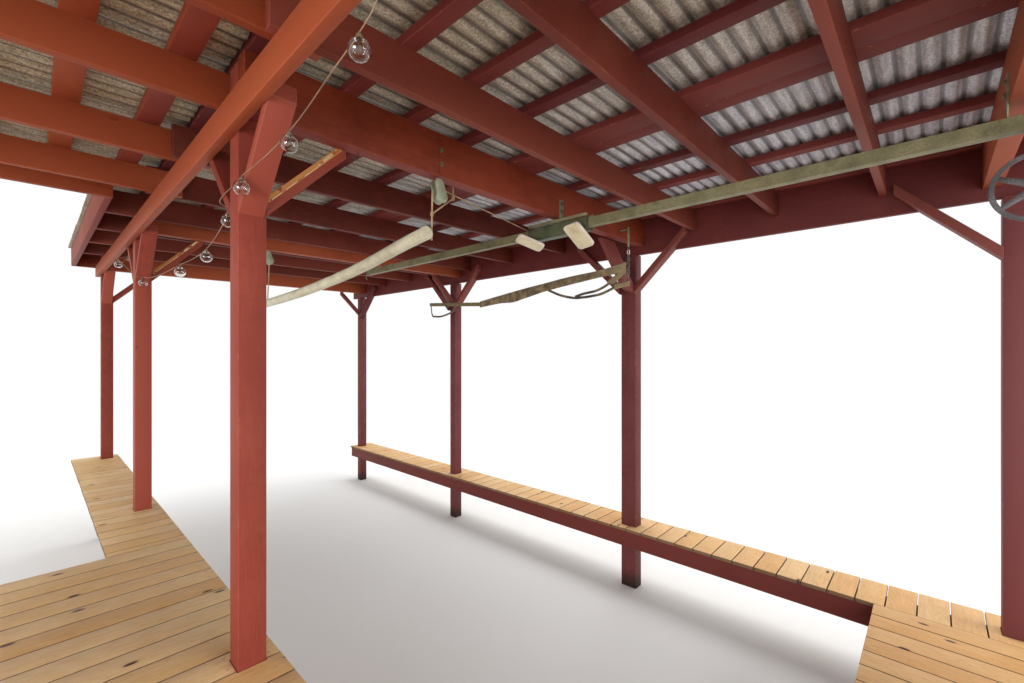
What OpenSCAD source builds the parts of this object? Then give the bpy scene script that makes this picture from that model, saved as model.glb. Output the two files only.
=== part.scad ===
// Open boathouse over a slip: posts, tin roof on rafters, deck, catwalk and hoist gear.
// Millimetres, +Z up, +X across the slip towards the catwalk, +Y along the slip towards its far end.
// The origin is on the water line, midway between the two post rows and the two end post pairs.

/* [Posts] */
// Side of a square post
post = 100; // [80:5:120]
// Distance between the centres of the two slip rows
row_gap = 3103; // [2900:1:3300]
// Distance from the left slip row to the outer row of the deck
outer_gap = 2223; // [1800:1:2400]
// Height of the right posts above the water
right_post_h = 2945; // [2900:1:3000]

/* [Decks] */
// Height of the left deck's walking surface above the water
deck_top = 890; // [800:1:950]
// Height of the catwalk and the cross deck above the water
walk_top = 543; // [450:1:600]
// Thickness of a deck board
board_t = 26; // [20:1:40]
// Width of the left deck before the notch
deck_w = 2438; // [2200:1:2600]
// Width of the left deck beside and past the notch
narrow_w = 391; // [300:1:500]
// Width of the catwalk
walk_w = 346; // [300:1:420]
// Depth of the cross deck along the slip
cross_w = 1223; // [900:1:1400]

/* [Frame] */
// Thickness of a sawn plank
plank = 38; // [30:1:50]
// Depth of the slip rafters
rafter_h = 160; // [140:1:180]
// Depth of the rafters over the deck
deck_rafter_h = 140; // [120:1:150]
// Depth of the doubled crossbeams
cross_h = 220; // [200:1:240]
// Height of the rafters' underside over the left slip row
rafter_z = 3048; // [3046:1:3060]
// Rise of the roof towards the catwalk, per unit of width
roof_slope = 0.007; // [0.005:0.001:0.012]

/* [Roof] */
// Width of a slip purlin, laid flat
purlin_w = 64; // [50:1:89]
// Width of a deck purlin, laid flat
deck_purlin_w = 89; // [64:1:100]
// Height over all of the corrugated sheets
sheet_t = 18; // [14:1:22]

/* [Hoist] */
// Radius of the drive wheel to the middle of its rim
wheel_r = 115; // [100:1:140]
// Number of spokes in the drive wheel
spokes = 6; // [4:1:7]
// Turn of the first spoke from straight down
spoke_turn = 55; // [0:5:60]

/* [Hidden] */
$fn = 48;

wood_red = "#9a4038";
beam_red = "#8a3a20";
fascia_red = "#7a2a2a";
deck_wood = "#c89a64";
tin = "#8f8472";
olive = "#5f5e40";
lamp_cream = "#c8bc94";

// Rows and post pairs
left_x = -row_gap / 2;
right_x = row_gap / 2;
outer_x = left_x - outer_gap;
pair_y = [-3560, -1270, 1195, 3565];
outer_y = [-3560, -1270, 245];
half = post / 2;
// Distance from the middle of each right post to its far face; the second post is a deeper one
right_back = [half, 90, half, half];

// Plan of the decks
deck_right = left_x + half + 58;
deck_left = deck_right - deck_w;
narrow_left = deck_right - narrow_w;
near_y = -4185;
notch_y = 295;
deck_far = 3725;
cross_far = near_y + cross_w;
walk_left = right_x - half - 82;
walk_right = walk_left + walk_w;
walk_far = 3698;
joist_h = 140;
bearer_h = 184;
fascia_t = 24;
board_gap = 6;
// Gap between pieces that are nailed to each other, so that each stays its own solid
skin = 0.05;

// Plan of the roof
roof_near = -4235;
roof_far = 3865;
step_y = 493;
step_x = left_x - 276;
slip_sheet_left = left_x - 163;
slip_sheet_right = right_x + 74;
deck_sheet_left = deck_left - 70;
lap_x = left_x - 47;
near_end = -4166;
far_end = 3795;
slip_rafter_y = [-3003, -2402, -1818, -522, 204, 895, 1515, 2155, 2805];
deck_rafter_y = [-2965, -2364, -1780, -484, 166];
slip_purlin_x = [-1563, -1187, -866, -523, 456, 851, 1236, 1480];
ridge_pair = [[-105, 140], [12, 89]];
deck_purlin_step = 278;
deck_purlin_x = [for (i = [0 : 7]) -1753 - i * deck_purlin_step];
left_beam_h = 118;
crossbeam_drop = cross_h - rafter_h;
purlin_t = plank;
beam_face = right_x - plank / 2 - 0.6;

// Hoist gear
rail_x = 325;
rail_top = 2955;
rail_h = 57;
rail_w = 44;
rail_near = -3485;
rail_far = 1178;
wheel_x = rail_x - 62;
wheel_y = -3503;
wheel_z = 2680;
axle_r = 10;
axle_gap = 0.05;

// Height of the rafters' underside at x
function roof_z(x) = rafter_z + roof_slope * (x - left_x);

// Places its children in the tilted plane of the roof: z = 0 is the rafters' underside at the left slip row
module roof_frame() {
    translate([left_x, 0, rafter_z]) rotate([0, -atan(roof_slope), 0]) translate([-left_x, 0, 0]) children();
}

// A block given by its lowest and highest corners
module block(lo, hi) {
    translate(lo) cube(hi - lo);
}

// A post on the ground line at x, y
module upright(x, y, bottom, top) {
    block([x - half, y - half, bottom], [x + half, y + half, top]);
}

// Posts
module left_post(i) {
    color(wood_red) upright(left_x, pair_y[i], 0, roof_z(left_x - half) + rafter_h - 8);
}

module right_post(i) {
    color(wood_red) block([right_x - half, pair_y[i] - half, 0],
        [right_x + half, pair_y[i] + right_back[i], right_post_h]);
}

module outer_post(i) {
    color(wood_red) upright(outer_x, outer_y[i], 0, roof_z(outer_x - half) - 2);
}

module near_piles() {
    pile_y = near_y + half;
    color(wood_red) {
        upright(outer_x, pile_y, 0, deck_top - board_t);
        upright(left_x, pile_y, 0, deck_top - board_t);
        upright(right_x, pile_y, 0, walk_top - board_t);
    }
}

// Beams along the slip
module left_beam() {
    top = roof_z(left_x - half - plank) - 0.5;
    color(beam_red) block([left_x - half - plank, roof_near + 50, top - left_beam_h],
        [left_x - half, pair_y[3] + 110, top]);
}

module eave_beam() {
    top = roof_z(right_x - plank / 2) + rafter_h + purlin_t - 1;
    color(fascia_red) block([right_x - plank / 2, roof_near + 50, right_post_h],
        [right_x + plank / 2, roof_far - 50, top]);
}

module outer_beam() {
    top = roof_z(outer_x - half - plank) - 0.5;
    color(beam_red) block([outer_x - half - plank, roof_near + 50, top - left_beam_h],
        [outer_x - half, outer_y[2] + 190, top]);
}

// Doubled crossbeams of the slip, bolted to the posts' faces
module crossbeam(i) {
    y0 = (i == 0) ? pair_y[0] + half + skin : pair_y[i] - half - skin - 2 * plank;
    color(beam_red) roof_frame() block([left_x - half, y0, -crossbeam_drop],
        [beam_face, y0 + 2 * plank, rafter_h]);
}

// Single crossbeams over the deck, on the other faces of the posts
module deck_crossbeams() {
    color(beam_red) roof_frame() {
        for (i = [0, 1]) {
            y0 = (i == 0) ? pair_y[0] - half - skin - plank : pair_y[1] + half + skin;
            block([deck_sheet_left + 50, y0, 0], [left_x + half + 20, y0 + plank, deck_rafter_h]);
        }
    }
}

// Rafters
module slip_rafters() {
    color(beam_red) roof_frame() {
        for (y = slip_rafter_y) {
            x0 = (y > step_y) ? step_x + plank : left_x - half - 63;
            block([x0, y - plank / 2, 0], [beam_face, y + plank / 2, rafter_h]);
        }
    }
}

module deck_rafters() {
    color(beam_red) roof_frame() {
        for (y = deck_rafter_y) {
            block([deck_sheet_left + 50, y - plank / 2, 0],
                [left_x + half + 6, y + plank / 2, deck_rafter_h]);
        }
    }
}

// Purlins, laid flat on the rafters
module slip_purlins() {
    color(beam_red) roof_frame() {
        for (x = slip_purlin_x) {
            block([x - purlin_w / 2, near_end + plank, rafter_h],
                [x + purlin_w / 2, far_end, rafter_h + purlin_t]);
        }
        for (p = ridge_pair) {
            block([p[0] - p[1] / 2, near_end + plank, rafter_h],
                [p[0] + p[1] / 2, far_end, rafter_h + purlin_t]);
        }
    }
}

module deck_purlins() {
    color(beam_red) roof_frame() {
        for (x = deck_purlin_x) {
            block([x - deck_purlin_w / 2, near_end + plank, deck_rafter_h],
                [x + deck_purlin_w / 2, step_y - plank, deck_rafter_h + purlin_t]);
        }
    }
}

// Corrugated sheets as flat slabs of their full height
module slip_roof_sheets() {
    z0 = rafter_h + purlin_t;
    color(tin) roof_frame() {
        block([slip_sheet_left, roof_near, z0], [slip_sheet_right, step_y + 30, z0 + sheet_t]);
        block([step_x - 25, step_y + 30 + skin, z0], [slip_sheet_right, roof_far, z0 + sheet_t]);
    }
}

module deck_roof_sheets() {
    z0 = deck_rafter_h + purlin_t;
    color(tin) roof_frame() block([deck_sheet_left, roof_near, z0],
        [lap_x, step_y, z0 + sheet_t]);
}

// Boards that close the ends of the roof
module end_boards() {
    color(beam_red) roof_frame() {
        block([lap_x, near_end, 0], [beam_face, near_end + plank, rafter_h + purlin_t]);
        block([step_x + plank, far_end, 0], [beam_face, far_end + plank, rafter_h + purlin_t]);
        block([deck_sheet_left + 50, near_end, 0],
            [lap_x - skin, near_end + plank, deck_rafter_h + purlin_t]);
        block([deck_sheet_left + 50, step_y - plank, 0],
            [step_x + plank, step_y, deck_rafter_h + purlin_t]);
    }
}

module step_eave_board() {
    color(beam_red) roof_frame() block([step_x, step_y, 0],
        [step_x + plank, far_end + plank, rafter_h + purlin_t]);
}

// Slanted brace in the YZ plane from a post's face: foot at y, z, running up and towards dir
module long_brace(x0, w, y, z, dir, run, t) {
    slant = t * sqrt(2);
    translate([x0, 0, 0]) rotate([90, 0, 90]) linear_extrude(w)
        polygon([[y, z], [y + dir * run, z + run], [y + dir * run, z + run + slant], [y, z + slant]]);
}

module left_braces() {
    foot_z = 2622;
    run = 325;
    color(wood_red) {
        for (i = [1 : 3]) {
            long_brace(left_x - half, 89, pair_y[i] - half, foot_z, -1, run, plank);
        }
        for (i = [0 : 2]) {
            long_brace(left_x - half, 89, pair_y[i] + half, foot_z, 1, run, plank);
        }
    }
}

module right_braces() {
    foot_z = 2600;
    run = 455;
    color(wood_red) difference() {
        union() {
            for (i = [1 : 3]) {
                long_brace(right_x - 89, 89, pair_y[i] - half, foot_z, -1, run, plank + 8);
            }
            for (i = [0 : 2]) {
                long_brace(right_x - 89, 89, pair_y[i] + right_back[i], foot_z, 1, run, plank + 8);
            }
        }
        block([right_x - plank / 2, near_y, right_post_h],
            [right_x + plank / 2, roof_far, rafter_z + rafter_h]);
    }
}

// Slanted brace in the XZ plane from a post's inner face up to the crossbeam
module side_brace(x, y, z, dir, run, h) {
    slant = h * sqrt(2);
    translate([0, y + plank, 0]) rotate([90, 0, 0]) linear_extrude(plank)
        polygon([[x, z], [x + dir * run, z + run], [x + dir * run, z + run + slant], [x, z + slant]]);
}

// The second right post has a broad board as its cross brace, with a tapered foot
broad_brace = [[right_x - half, 2600], [right_x - half, 2640], [1146, 2995], [948, 2995], [1308, 2635]];
module cross_braces() {
    foot_z = 2632;
    run = 329;
    color(wood_red) {
        for (i = [1 : 3]) {
            side_brace(left_x + half, pair_y[i] - half, foot_z, 1, run, 54);
        }
        for (i = [2, 3]) {
            side_brace(right_x - half, pair_y[i] - half, foot_z, -1, run, 54);
        }
        translate([0, pair_y[1] - half + plank, 0]) rotate([90, 0, 0])
            linear_extrude(plank) polygon(broad_brace);
    }
}

// Square holes for posts that pass through a deck
module post_holes(xs, ys, z) {
    for (x = xs, y = ys) {
        block([x - half, y - half, z - 5], [x + half, y + half, z + board_t + 5]);
    }
}

// Left deck: wide up to the notch, then narrow along the slip
module deck_boards() {
    z0 = deck_top - board_t;
    color(deck_wood) difference() {
        union() {
            block([deck_left, near_y, z0], [deck_right, notch_y, deck_top]);
            block([narrow_left, notch_y + board_gap, z0], [deck_right, deck_far, deck_top]);
        }
        post_holes([left_x], pair_y, z0);
        post_holes([outer_x], outer_y, z0);
    }
}

module deck_joists() {
    z1 = deck_top - board_t;
    wide_x = [outer_x + half, outer_x + half + 690, outer_x + half + 1380];
    color(wood_red) {
        for (x = [left_x - half - plank, left_x + half]) {
            block([x, near_y, z1 - joist_h], [x + plank, deck_far, z1]);
        }
        for (x = wide_x) {
            block([x, near_y, z1 - joist_h], [x + plank, notch_y, z1]);
        }
        block([outer_x - half - plank, near_y, z1 - joist_h], [outer_x - half, notch_y, z1]);
    }
}

module deck_bearers() {
    z1 = deck_top - board_t - joist_h;
    color(wood_red) {
        for (y = outer_y) {
            block([outer_x - half - plank, y - half - plank, z1 - bearer_h],
                [left_x + half, y - half, z1]);
        }
    }
}

// Catwalk
module catwalk_boards() {
    z0 = walk_top - board_t;
    color(deck_wood) difference() {
        block([walk_left, near_y, z0], [walk_right, walk_far, walk_top]);
        for (i = [0 : 3]) {
            block([right_x - half, pair_y[i] - half, z0 - 5],
                [right_x + half, pair_y[i] + right_back[i], walk_top + 5]);
        }
    }
}

module catwalk_fascia() {
    z1 = walk_top - board_t;
    color(fascia_red) block([right_x - half - plank - fascia_t, cross_far, z1 - joist_h],
        [right_x - half - plank, walk_far, z1]);
}

module catwalk_stringers() {
    z1 = walk_top - board_t;
    block_t = 38;
    color(fascia_red) {
        for (x = [right_x - half - plank, right_x + half]) {
            block([x, near_y, z1 - joist_h], [x + plank, walk_far, z1]);
        }
        for (i = [0 : 2], k = [1 : 3]) {
            y = pair_y[i] + (pair_y[i + 1] - pair_y[i]) * k / 4;
            block([right_x - half + skin, y - block_t / 2, z1 - joist_h],
                [right_x + half - skin, y + block_t / 2, z1]);
        }
    }
}

// Cross deck at the near end
module cross_deck_boards() {
    color(deck_wood) block([deck_right, near_y, walk_top - board_t], [walk_left, cross_far, walk_top]);
}

module cross_deck_joists() {
    z1 = walk_top - board_t;
    x0 = left_x + half + plank;
    x1 = right_x - half - plank;
    near_joists = [near_y, pair_y[0] - half - plank, pair_y[0] + half];
    color(fascia_red) {
        block([left_x + half, near_y, z1 - joist_h], [x0, cross_far, z1]);
        for (y = near_joists) {
            block([x0 + skin, y, z1 - joist_h], [x1 - skin, y + plank, z1]);
        }
        block([x0 + skin, cross_far - plank, z1 - joist_h], [x1 - skin, cross_far, z1]);
    }
}

// Hoist rail: a closed channel
module hoist_rail() {
    color(olive) block([rail_x - rail_w / 2, rail_near, rail_top - rail_h],
        [rail_x + rail_w / 2, rail_far, rail_top]);
}

// Drilled straps from the crossbeams down to the rail
module rail_hangers() {
    strap_w = 40;
    strap_t = 5;
    strap_x = rail_x - 10;
    strap_top = 3116;
    hole_r = 6;
    hole_low = 84;
    hole_step = 51;
    beam_far = half + 2 * plank + 2 * skin;
    strap_y = [pair_y[0] + beam_far, pair_y[1] - beam_far - strap_t, pair_y[2] - beam_far - strap_t];
    color("#6f6d55") {
        for (y = strap_y) {
            difference() {
                block([strap_x - strap_w / 2, y, rail_top], [strap_x + strap_w / 2, y + strap_t, strap_top]);
                for (k = [0 : 1]) {
                    translate([strap_x, y - 1, rail_top + hole_low + k * hole_step]) rotate([-90, 0, 0])
                        cylinder(r = hole_r, h = strap_t + 2);
                }
            }
        }
    }
}

// Trolley housing under the second crossbeam, round the rail
housing_apron = 24;
module drive_housing() {
    wall = 12;
    y0 = -1622;
    y1 = -1130;
    z0 = rail_top - rail_h;
    side = 31;
    lip = 30;
    inset = 20;
    color("#3a3b2c") {
        for (s = [-1, 1]) {
            x = rail_x + s * (side + wall / 2);
            block([x - wall / 2, y0, z0 - housing_apron], [x + wall / 2, y1, rail_top + lip]);
        }
        block([rail_x - side, y0 + inset, z0 - housing_apron], [rail_x + side, y1 - inset, z0]);
    }
}

// Two flat lamps below the housing's ends, each tipped on a short arm
module housing_lamps() {
    lamp = [193, 138, 24];
    arm_r = 9;
    arm_x = 305;
    arm_top = rail_top - rail_h - housing_apron - skin;
    // Middle, turn and height of the arm's foot
    ends = [[[259, -1578, 2836], [-4.6, 39.8, -14.7], 2798], [[254, -1170, 2855], [-5.7, 20.3, -36.3], 2836]];
    color(lamp_cream) {
        for (e = ends) {
            translate([arm_x, e[0][1], e[2]]) cylinder(r = arm_r, h = arm_top - e[2]);
            translate(e[0]) rotate(e[1]) translate(-lamp / 2) cube(lamp);
        }
    }
}

// Gear box at the rail's near end, with the plate and axle that carry the wheel
module gear_box() {
    plate_t = 10;
    plate_x = wheel_x + 30;
    plate_edge = 40;
    box_side = 55;
    box_l = 110;
    box_low = rail_top - 105;
    box_lid = 4;
    axle_out = 26;
    color("#2e2e28") {
        block([rail_x - box_side, rail_near - box_l, box_low], [rail_x + box_side, rail_near, rail_top + box_lid]);
        block([plate_x, wheel_y - plate_edge, wheel_z - plate_edge], [plate_x + plate_t, rail_near, box_low]);
        translate([wheel_x - axle_out, wheel_y, wheel_z]) rotate([0, 90, 0])
            cylinder(r = axle_r, h = plate_x - wheel_x + axle_out);
    }
}

// Spoked wheel that turns on the axle
module drive_wheel() {
    hub_r = 24;
    hub_l = 40;
    rim_r = 9;
    spoke_r = 5;
    color("#3a3a30") translate([wheel_x, wheel_y, wheel_z]) rotate([0, 90, 0]) difference() {
        union() {
            rotate_extrude($fn = 96) translate([wheel_r, 0]) circle(r = rim_r, $fn = 24);
            translate([0, 0, -hub_l / 2]) cylinder(r = hub_r, h = hub_l);
            for (k = [0 : spokes - 1]) {
                rotate([0, 0, spoke_turn + k * 360 / spokes]) translate([hub_r - 6, 0, 0])
                    rotate([0, 90, 0]) cylinder(r = spoke_r, h = wheel_r - hub_r + 6);
            }
        }
        translate([0, 0, -hub_l]) cylinder(r = axle_r + axle_gap, h = 2 * hub_l);
    }
}

// Rope blocks under the second and third crossbeams: an oval pair of cheeks on a short eye
block_y = [for (i = [1, 2]) pair_y[i] - half - plank];
block_low = [-678, 2900];
block_low_r = 33;
module pulley_block() {
    depth = 44;
    upper = [-696, 2962];
    upper_r = 27;
    eye_r = 8;
    eye_top = roof_z(upper[0]) - crossbeam_drop - 1;
    color("#8c8f72") {
        for (y = block_y) {
            hull() {
                translate([upper[0], y - depth / 2, upper[1]]) rotate([-90, 0, 0])
                    cylinder(r = upper_r, h = depth);
                translate([block_low[0], y - depth / 2, block_low[1]]) rotate([-90, 0, 0])
                    cylinder(r = block_low_r, h = depth);
            }
            translate([upper[0], y, upper[1]]) cylinder(r = eye_r, h = eye_top - upper[1]);
        }
    }
}

// Ropes that carry the pole, the tail tied up beside the block, and the hauling line to the housing
module rope_between(a, b, r) {
    d = b - a;
    length = norm(d);
    translate(a) rotate([0, acos(d[2] / length), atan2(d[1], d[0])]) cylinder(r = r, h = length, $fn = 16);
}

module pole_ropes() {
    rope_r = 5;
    tail_r = 4.5;
    line_r = 3;
    knot_r = 9;
    knot_h = 17;
    stem_in = 4;
    beam_gap = 0.5;
    far_foot = 2559;
    pole_end = [-733, -1358, 2668];
    block_end = [-728, -1358, 2916];
    fork_z = 2803;
    fork = pole_end + (fork_z - pole_end[2]) / (block_end[2] - pole_end[2]) * (block_end - pole_end);
    hitch = [-566, -1327, 2930];
    color("#b09a80") {
        rope_between(pole_end, block_end, rope_r);
        rope_between(fork, hitch, tail_r);
        for (knot = [fork, hitch]) {
            translate(knot - [0, 0, knot_h / 2]) cylinder(r = knot_r, h = knot_h);
        }
        translate(hitch + [0, 0, stem_in])
            cylinder(r = line_r, h = roof_z(hitch[0]) - crossbeam_drop - beam_gap - hitch[2] - stem_in);
        rope_between([-691, block_y[1], far_foot],
            [block_low[0], block_y[1], block_low[1] - block_low_r - beam_gap], rope_r);
        rope_between([-655, -1358, 2943], [281, -1132, 2948], line_r);
    }
}

// Pole stored under the crossbeams; it sags between its two ropes
pole_r = 34;
pole_points = [[-774, -1375, 2696], [-762, -1152, 2675], [-735, -533, 2604], [-705, 303, 2552],
    [-692, 1081, 2524], [-688, 1325, 2518]];
module dock_pole() {
    color("#d8d0b0") tube(route(pole_points, 3), pole_r, 32);
}

// Band of width w along points in a plane
module band(points, w) {
    n = len(points);
    rims = [for (side = [1, -1], k = [0 : n - 1])
        let (i = side > 0 ? k : n - 1 - k, d = points[min(i + 1, n - 1)] - points[max(i - 1, 0)],
            u = d / norm(d)) points[i] + side * w / 2 * [-u[1], u[0]]];
    polygon(rims);
}

// Webbing sling from the chain to the batten on the third right post, drawn in its own upright plane:
// the first number is the distance from sling_at along that plane, the second is the height
sling_at = [1110, -1440];
sling_turn = 83.4;
sling_t = 20;
strip_t = 8;
sling_top = [[-3, 2803], [245, 2772], [605, 2758], [911, 2736], [1255, 2711], [1615, 2679], [1962, 2646]];
sling_low = [[1962, 2588], [1615, 2606], [1404, 2601], [1255, 2619], [1021, 2653], [889, 2670], [605, 2695],
    [245, 2722], [-3, 2735]];
near_tail = [[2, 2770], [2, 2625]];
near_pad = [[-37, 2651], [73, 2641], [113, 2640], [108, 2601], [-37, 2613]];
near_strip = [[100, 2618], [236, 2577], [334, 2567], [443, 2564], [560, 2570], [723, 2610], [889, 2678]];
inner_pad = [[-3, 2744], [96, 2716], [153, 2692], [188, 2663], [130, 2645], [107, 2654], [40, 2697], [-3, 2722]];
inner_strip = [[150, 2662], [236, 2625], [322, 2605], [437, 2596], [540, 2578]];
far_loop = [[3050, 2690], [3021, 2560], [2940, 2536], [2783, 2531], [2558, 2566], [2349, 2640]];
batten_w = 30;
batten_h = 42;
batten = [[1940, 2618], [3061, 2698]];

// Places its children, drawn in the sling's plane and t thick, in the model
module in_sling_plane(t) {
    translate([sling_at[0], sling_at[1], 0]) rotate([90, 0, sling_turn])
        linear_extrude(t, center = true) children();
}

module boat_sling() {
    strip_w = 22;
    tail_w = 12;
    color("#7a6448") {
        in_sling_plane(sling_t) polygon(concat(sling_top, sling_low));
        in_sling_plane(strip_t) {
            polygon(near_pad);
            polygon(inner_pad);
            band(near_tail, tail_w);
            band(near_strip, strip_w);
            band(inner_strip, strip_w);
            band(far_loop, strip_w);
        }
        in_sling_plane(batten_w) band(batten, batten_h);
    }
}

// Strap and chain from the second crossbeam to the sling, and the hook that carries the batten
module sling_chain() {
    link_r = 4;
    link_l = 34;
    wire = link_r - 0.5;
    pitch = link_l - 2 * link_r;
    count = 9;
    at = [1107, -1465];
    strap_w = 28;
    strap_t = 6;
    strap_low = 2925;
    strap_top = 3080;
    rod = 12;
    beam_y = pair_y[1] - half - 2 * plank - 2 * skin;
    hook_y = pair_y[2];
    hook_top = 2644;
    hook_t = 12;
    hook_tip = 28;
    hook_x = 1383;
    color("#4a4a48") {
        block([at[0] - strap_w / 2, at[1] - strap_t / 2, strap_low],
            [at[0] + strap_w / 2, at[1] + strap_t / 2, strap_top]);
        block([at[0] - rod / 2, at[1], strap_top - 2 * rod], [at[0] + rod / 2, beam_y, strap_top - rod]);
        for (k = [0 : count - 1]) {
            translate([at[0], at[1], strap_low - skin - link_l / 2 - k * pitch])
                rotate([90, 0, k * 90]) rotate_extrude($fn = 32)
                    translate([link_l / 2 - link_r, 0]) circle(r = wire, $fn = 16);
        }
        block([hook_x, hook_y - hook_t / 2, hook_top - hook_t],
            [right_x - half, hook_y + hook_t / 2, hook_top]);
        block([hook_x, hook_y - hook_t / 2, hook_top - hook_t],
            [hook_x + hook_t, hook_y + hook_t / 2, hook_top + hook_tip]);
    }
}

// Cord of the string lights, hung on hooks along the left row
cord_r = 1.75;
cord_points = [[-1590, -2402, 3044], [-1594, -2310, 2912], [-1602, -2239, 2861], [-1592, -2060, 2838],
    [-1581, -1890, 2816], [-1575, -1747, 2801], [-1586, -1620, 2773], [-1607, -1500, 2744],
    [-1620, -1429, 2728], [-1612, -1330, 2729], [-1608, -1270, 2732], [-1608, -1150, 2725],
    [-1598, -1070, 2718], [-1545, -979, 2714], [-1520, -730, 2671], [-1514, -484, 2630], [-1530, -290, 2604],
    [-1554, -99, 2592], [-1562, 320, 2591], [-1570, 720, 2606], [-1567, 1050, 2645], [-1590, 1084, 2650],
    [-1610, 1116, 2658], [-1612, 1195, 2682], [-1614, 1320, 2722], [-1630, 1530, 2800], [-1640, 1704, 2856],
    [-1620, 1820, 2888], [-1585, 1920, 2914], [-1530, 2120, 2966], [-1491, 2368, 3024], [-1480, 2700, 3030],
    [-1475, 3250, 3026], [-1475, 3434, 3030]];
cord_steps = 2;
function catmull(p0, p1, p2, p3, t) = 0.5 * ((2 * p1) + (p2 - p0) * t + (2 * p0 - 5 * p1 + 4 * p2 - p3) * t * t
    + (3 * p1 - p0 - 3 * p2 + p3) * t * t * t);
function route(pts, steps) = concat([for (i = [0 : len(pts) - 2], k = [0 : steps - 1])
    catmull(pts[max(i - 1, 0)], pts[i], pts[i + 1], pts[min(i + 2, len(pts) - 1)], k / steps)],
    [pts[len(pts) - 1]]);
function unit(v) = v / norm(v);

// Tube of radius r along the points of a route
module tube(path, r, sides) {
    n = len(path);
    rings = [for (i = [0 : n - 1])
        let (d = unit(path[min(i + 1, n - 1)] - path[max(i - 1, 0)]),
            a = unit(cross(d, [1, 0, 0])), b = cross(d, a))
        for (k = [0 : sides - 1]) path[i] + r * (a * cos(k * 360 / sides) + b * sin(k * 360 / sides))];
    skins = [for (i = [0 : n - 2], k = [0 : sides - 1])
        let (m = (k + 1) % sides) [i * sides + k, i * sides + m, (i + 1) * sides + m, (i + 1) * sides + k]];
    caps = [[for (k = [sides - 1 : -1 : 0]) k], [for (k = [0 : sides - 1]) (n - 1) * sides + k]];
    polyhedron(rings, concat(skins, caps));
}

module light_cord() {
    color("#cfc7b8") tube(route(cord_points, cord_steps), cord_r, 8);
}

// Clear globes with their lamp holders, hung just below the cord
bulb_at = [[-1602, -2239, 2861], [-1575, -1747, 2801], [-1620, -1429, 2728], [-1545, -979, 2714],
    [-1514, -484, 2630], [-1554, -99, 2592], [-1567, 1050, 2645], [-1640, 1704, 2856], [-1491, 2368, 3024]];
module light_bulbs() {
    globe_r = 28;
    holder_r = 8;
    drop = 36;
    bulb_gap = 4;
    color("#dfe0dc") {
        for (p = bulb_at) {
            translate(p - [0, 0, drop + cord_r + bulb_gap]) rotate_extrude($fn = 32)
                polygon(concat([for (a = [-90 : 15 : 60]) globe_r * [cos(a), sin(a)]],
                    [[holder_r, drop], [0, drop]]));
        }
    }
}

left_post(0);  // left_post_1
left_post(1);  // left_post_2
left_post(2);  // left_post_3
left_post(3);  // left_post_4
right_post(0);  // right_post_1
right_post(1);  // right_post_2
right_post(2);  // right_post_3
right_post(3);  // right_post_4
outer_post(0);  // outer_post_1
outer_post(1);  // outer_post_2
outer_post(2);  // outer_post_3
near_piles();
left_beam();
eave_beam();
outer_beam();
crossbeam(0);  // crossbeam_1
crossbeam(1);  // crossbeam_2
crossbeam(2);  // crossbeam_3
crossbeam(3);  // crossbeam_4
deck_crossbeams();
slip_rafters();
deck_rafters();
slip_purlins();
deck_purlins();
slip_roof_sheets();
deck_roof_sheets();
end_boards();
step_eave_board();
left_braces();
right_braces();
cross_braces();
deck_boards();
deck_joists();
deck_bearers();
catwalk_boards();
catwalk_fascia();
catwalk_stringers();
cross_deck_boards();
cross_deck_joists();
hoist_rail();
rail_hangers();
drive_housing();
housing_lamps();
gear_box();
drive_wheel();
pulley_block();
pole_ropes();
dock_pole();
boat_sling();
sling_chain();
light_cord();
light_bulbs();
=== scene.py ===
"""Open timber boathouse over a slip, dressed for rendering.

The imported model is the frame. Timber members are rebuilt from their own solids with eased edges, decks get
separate boards and screws, the roof gets corrugated sheets, and the hoist gear, ropes and string lights get
their real parts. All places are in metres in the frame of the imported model.
"""

import logging
import math
import random
from dataclasses import dataclass, field
from enum import Enum

import bmesh
import bpy
from mathutils import Matrix, Vector, noise


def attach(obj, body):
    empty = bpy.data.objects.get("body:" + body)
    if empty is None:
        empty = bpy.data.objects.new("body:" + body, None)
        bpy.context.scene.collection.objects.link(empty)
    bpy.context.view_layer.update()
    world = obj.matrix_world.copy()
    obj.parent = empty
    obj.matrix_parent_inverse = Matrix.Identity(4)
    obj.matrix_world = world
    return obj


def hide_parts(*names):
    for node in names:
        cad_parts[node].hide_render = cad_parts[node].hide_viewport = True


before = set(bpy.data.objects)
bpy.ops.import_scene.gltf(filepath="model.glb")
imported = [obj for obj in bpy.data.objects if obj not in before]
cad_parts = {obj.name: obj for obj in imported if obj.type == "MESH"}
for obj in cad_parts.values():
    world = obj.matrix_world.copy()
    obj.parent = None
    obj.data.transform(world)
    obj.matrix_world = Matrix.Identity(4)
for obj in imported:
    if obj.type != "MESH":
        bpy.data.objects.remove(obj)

log = logging.getLogger("boathouse")
BUILDING = "building"
WHEEL = "wheel"
MM = 0.001

Point = tuple[float, float, float]
Flat = tuple[float, float]
Piece = bpy.types.Object
Finish = bpy.types.Material
Tree = bpy.types.NodeTree
# A node, or a node with the name or index of one output
Source = bpy.types.Node | tuple[bpy.types.Node, str | int]


class GrainAxis(Enum):
    """Axis that a board's grain runs along."""

    X = 0
    Y = 1


# Small tools


def linear(hex_code: str) -> tuple[float, float, float, float]:
    """Turn an sRGB hex value into a linear colour.

    Args:
        hex_code: Six hex digits after a hash.

    Returns:
        Linear red, green, blue and alpha 1.
    """
    parts = [int(hex_code[i : i + 2], 16) / 255 for i in (1, 3, 5)]
    made = [c / 12.92 if c <= 0.04045 else ((c + 0.055) / 1.055) ** 2.4 for c in parts]
    return (made[0], made[1], made[2], 1.0)


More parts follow.
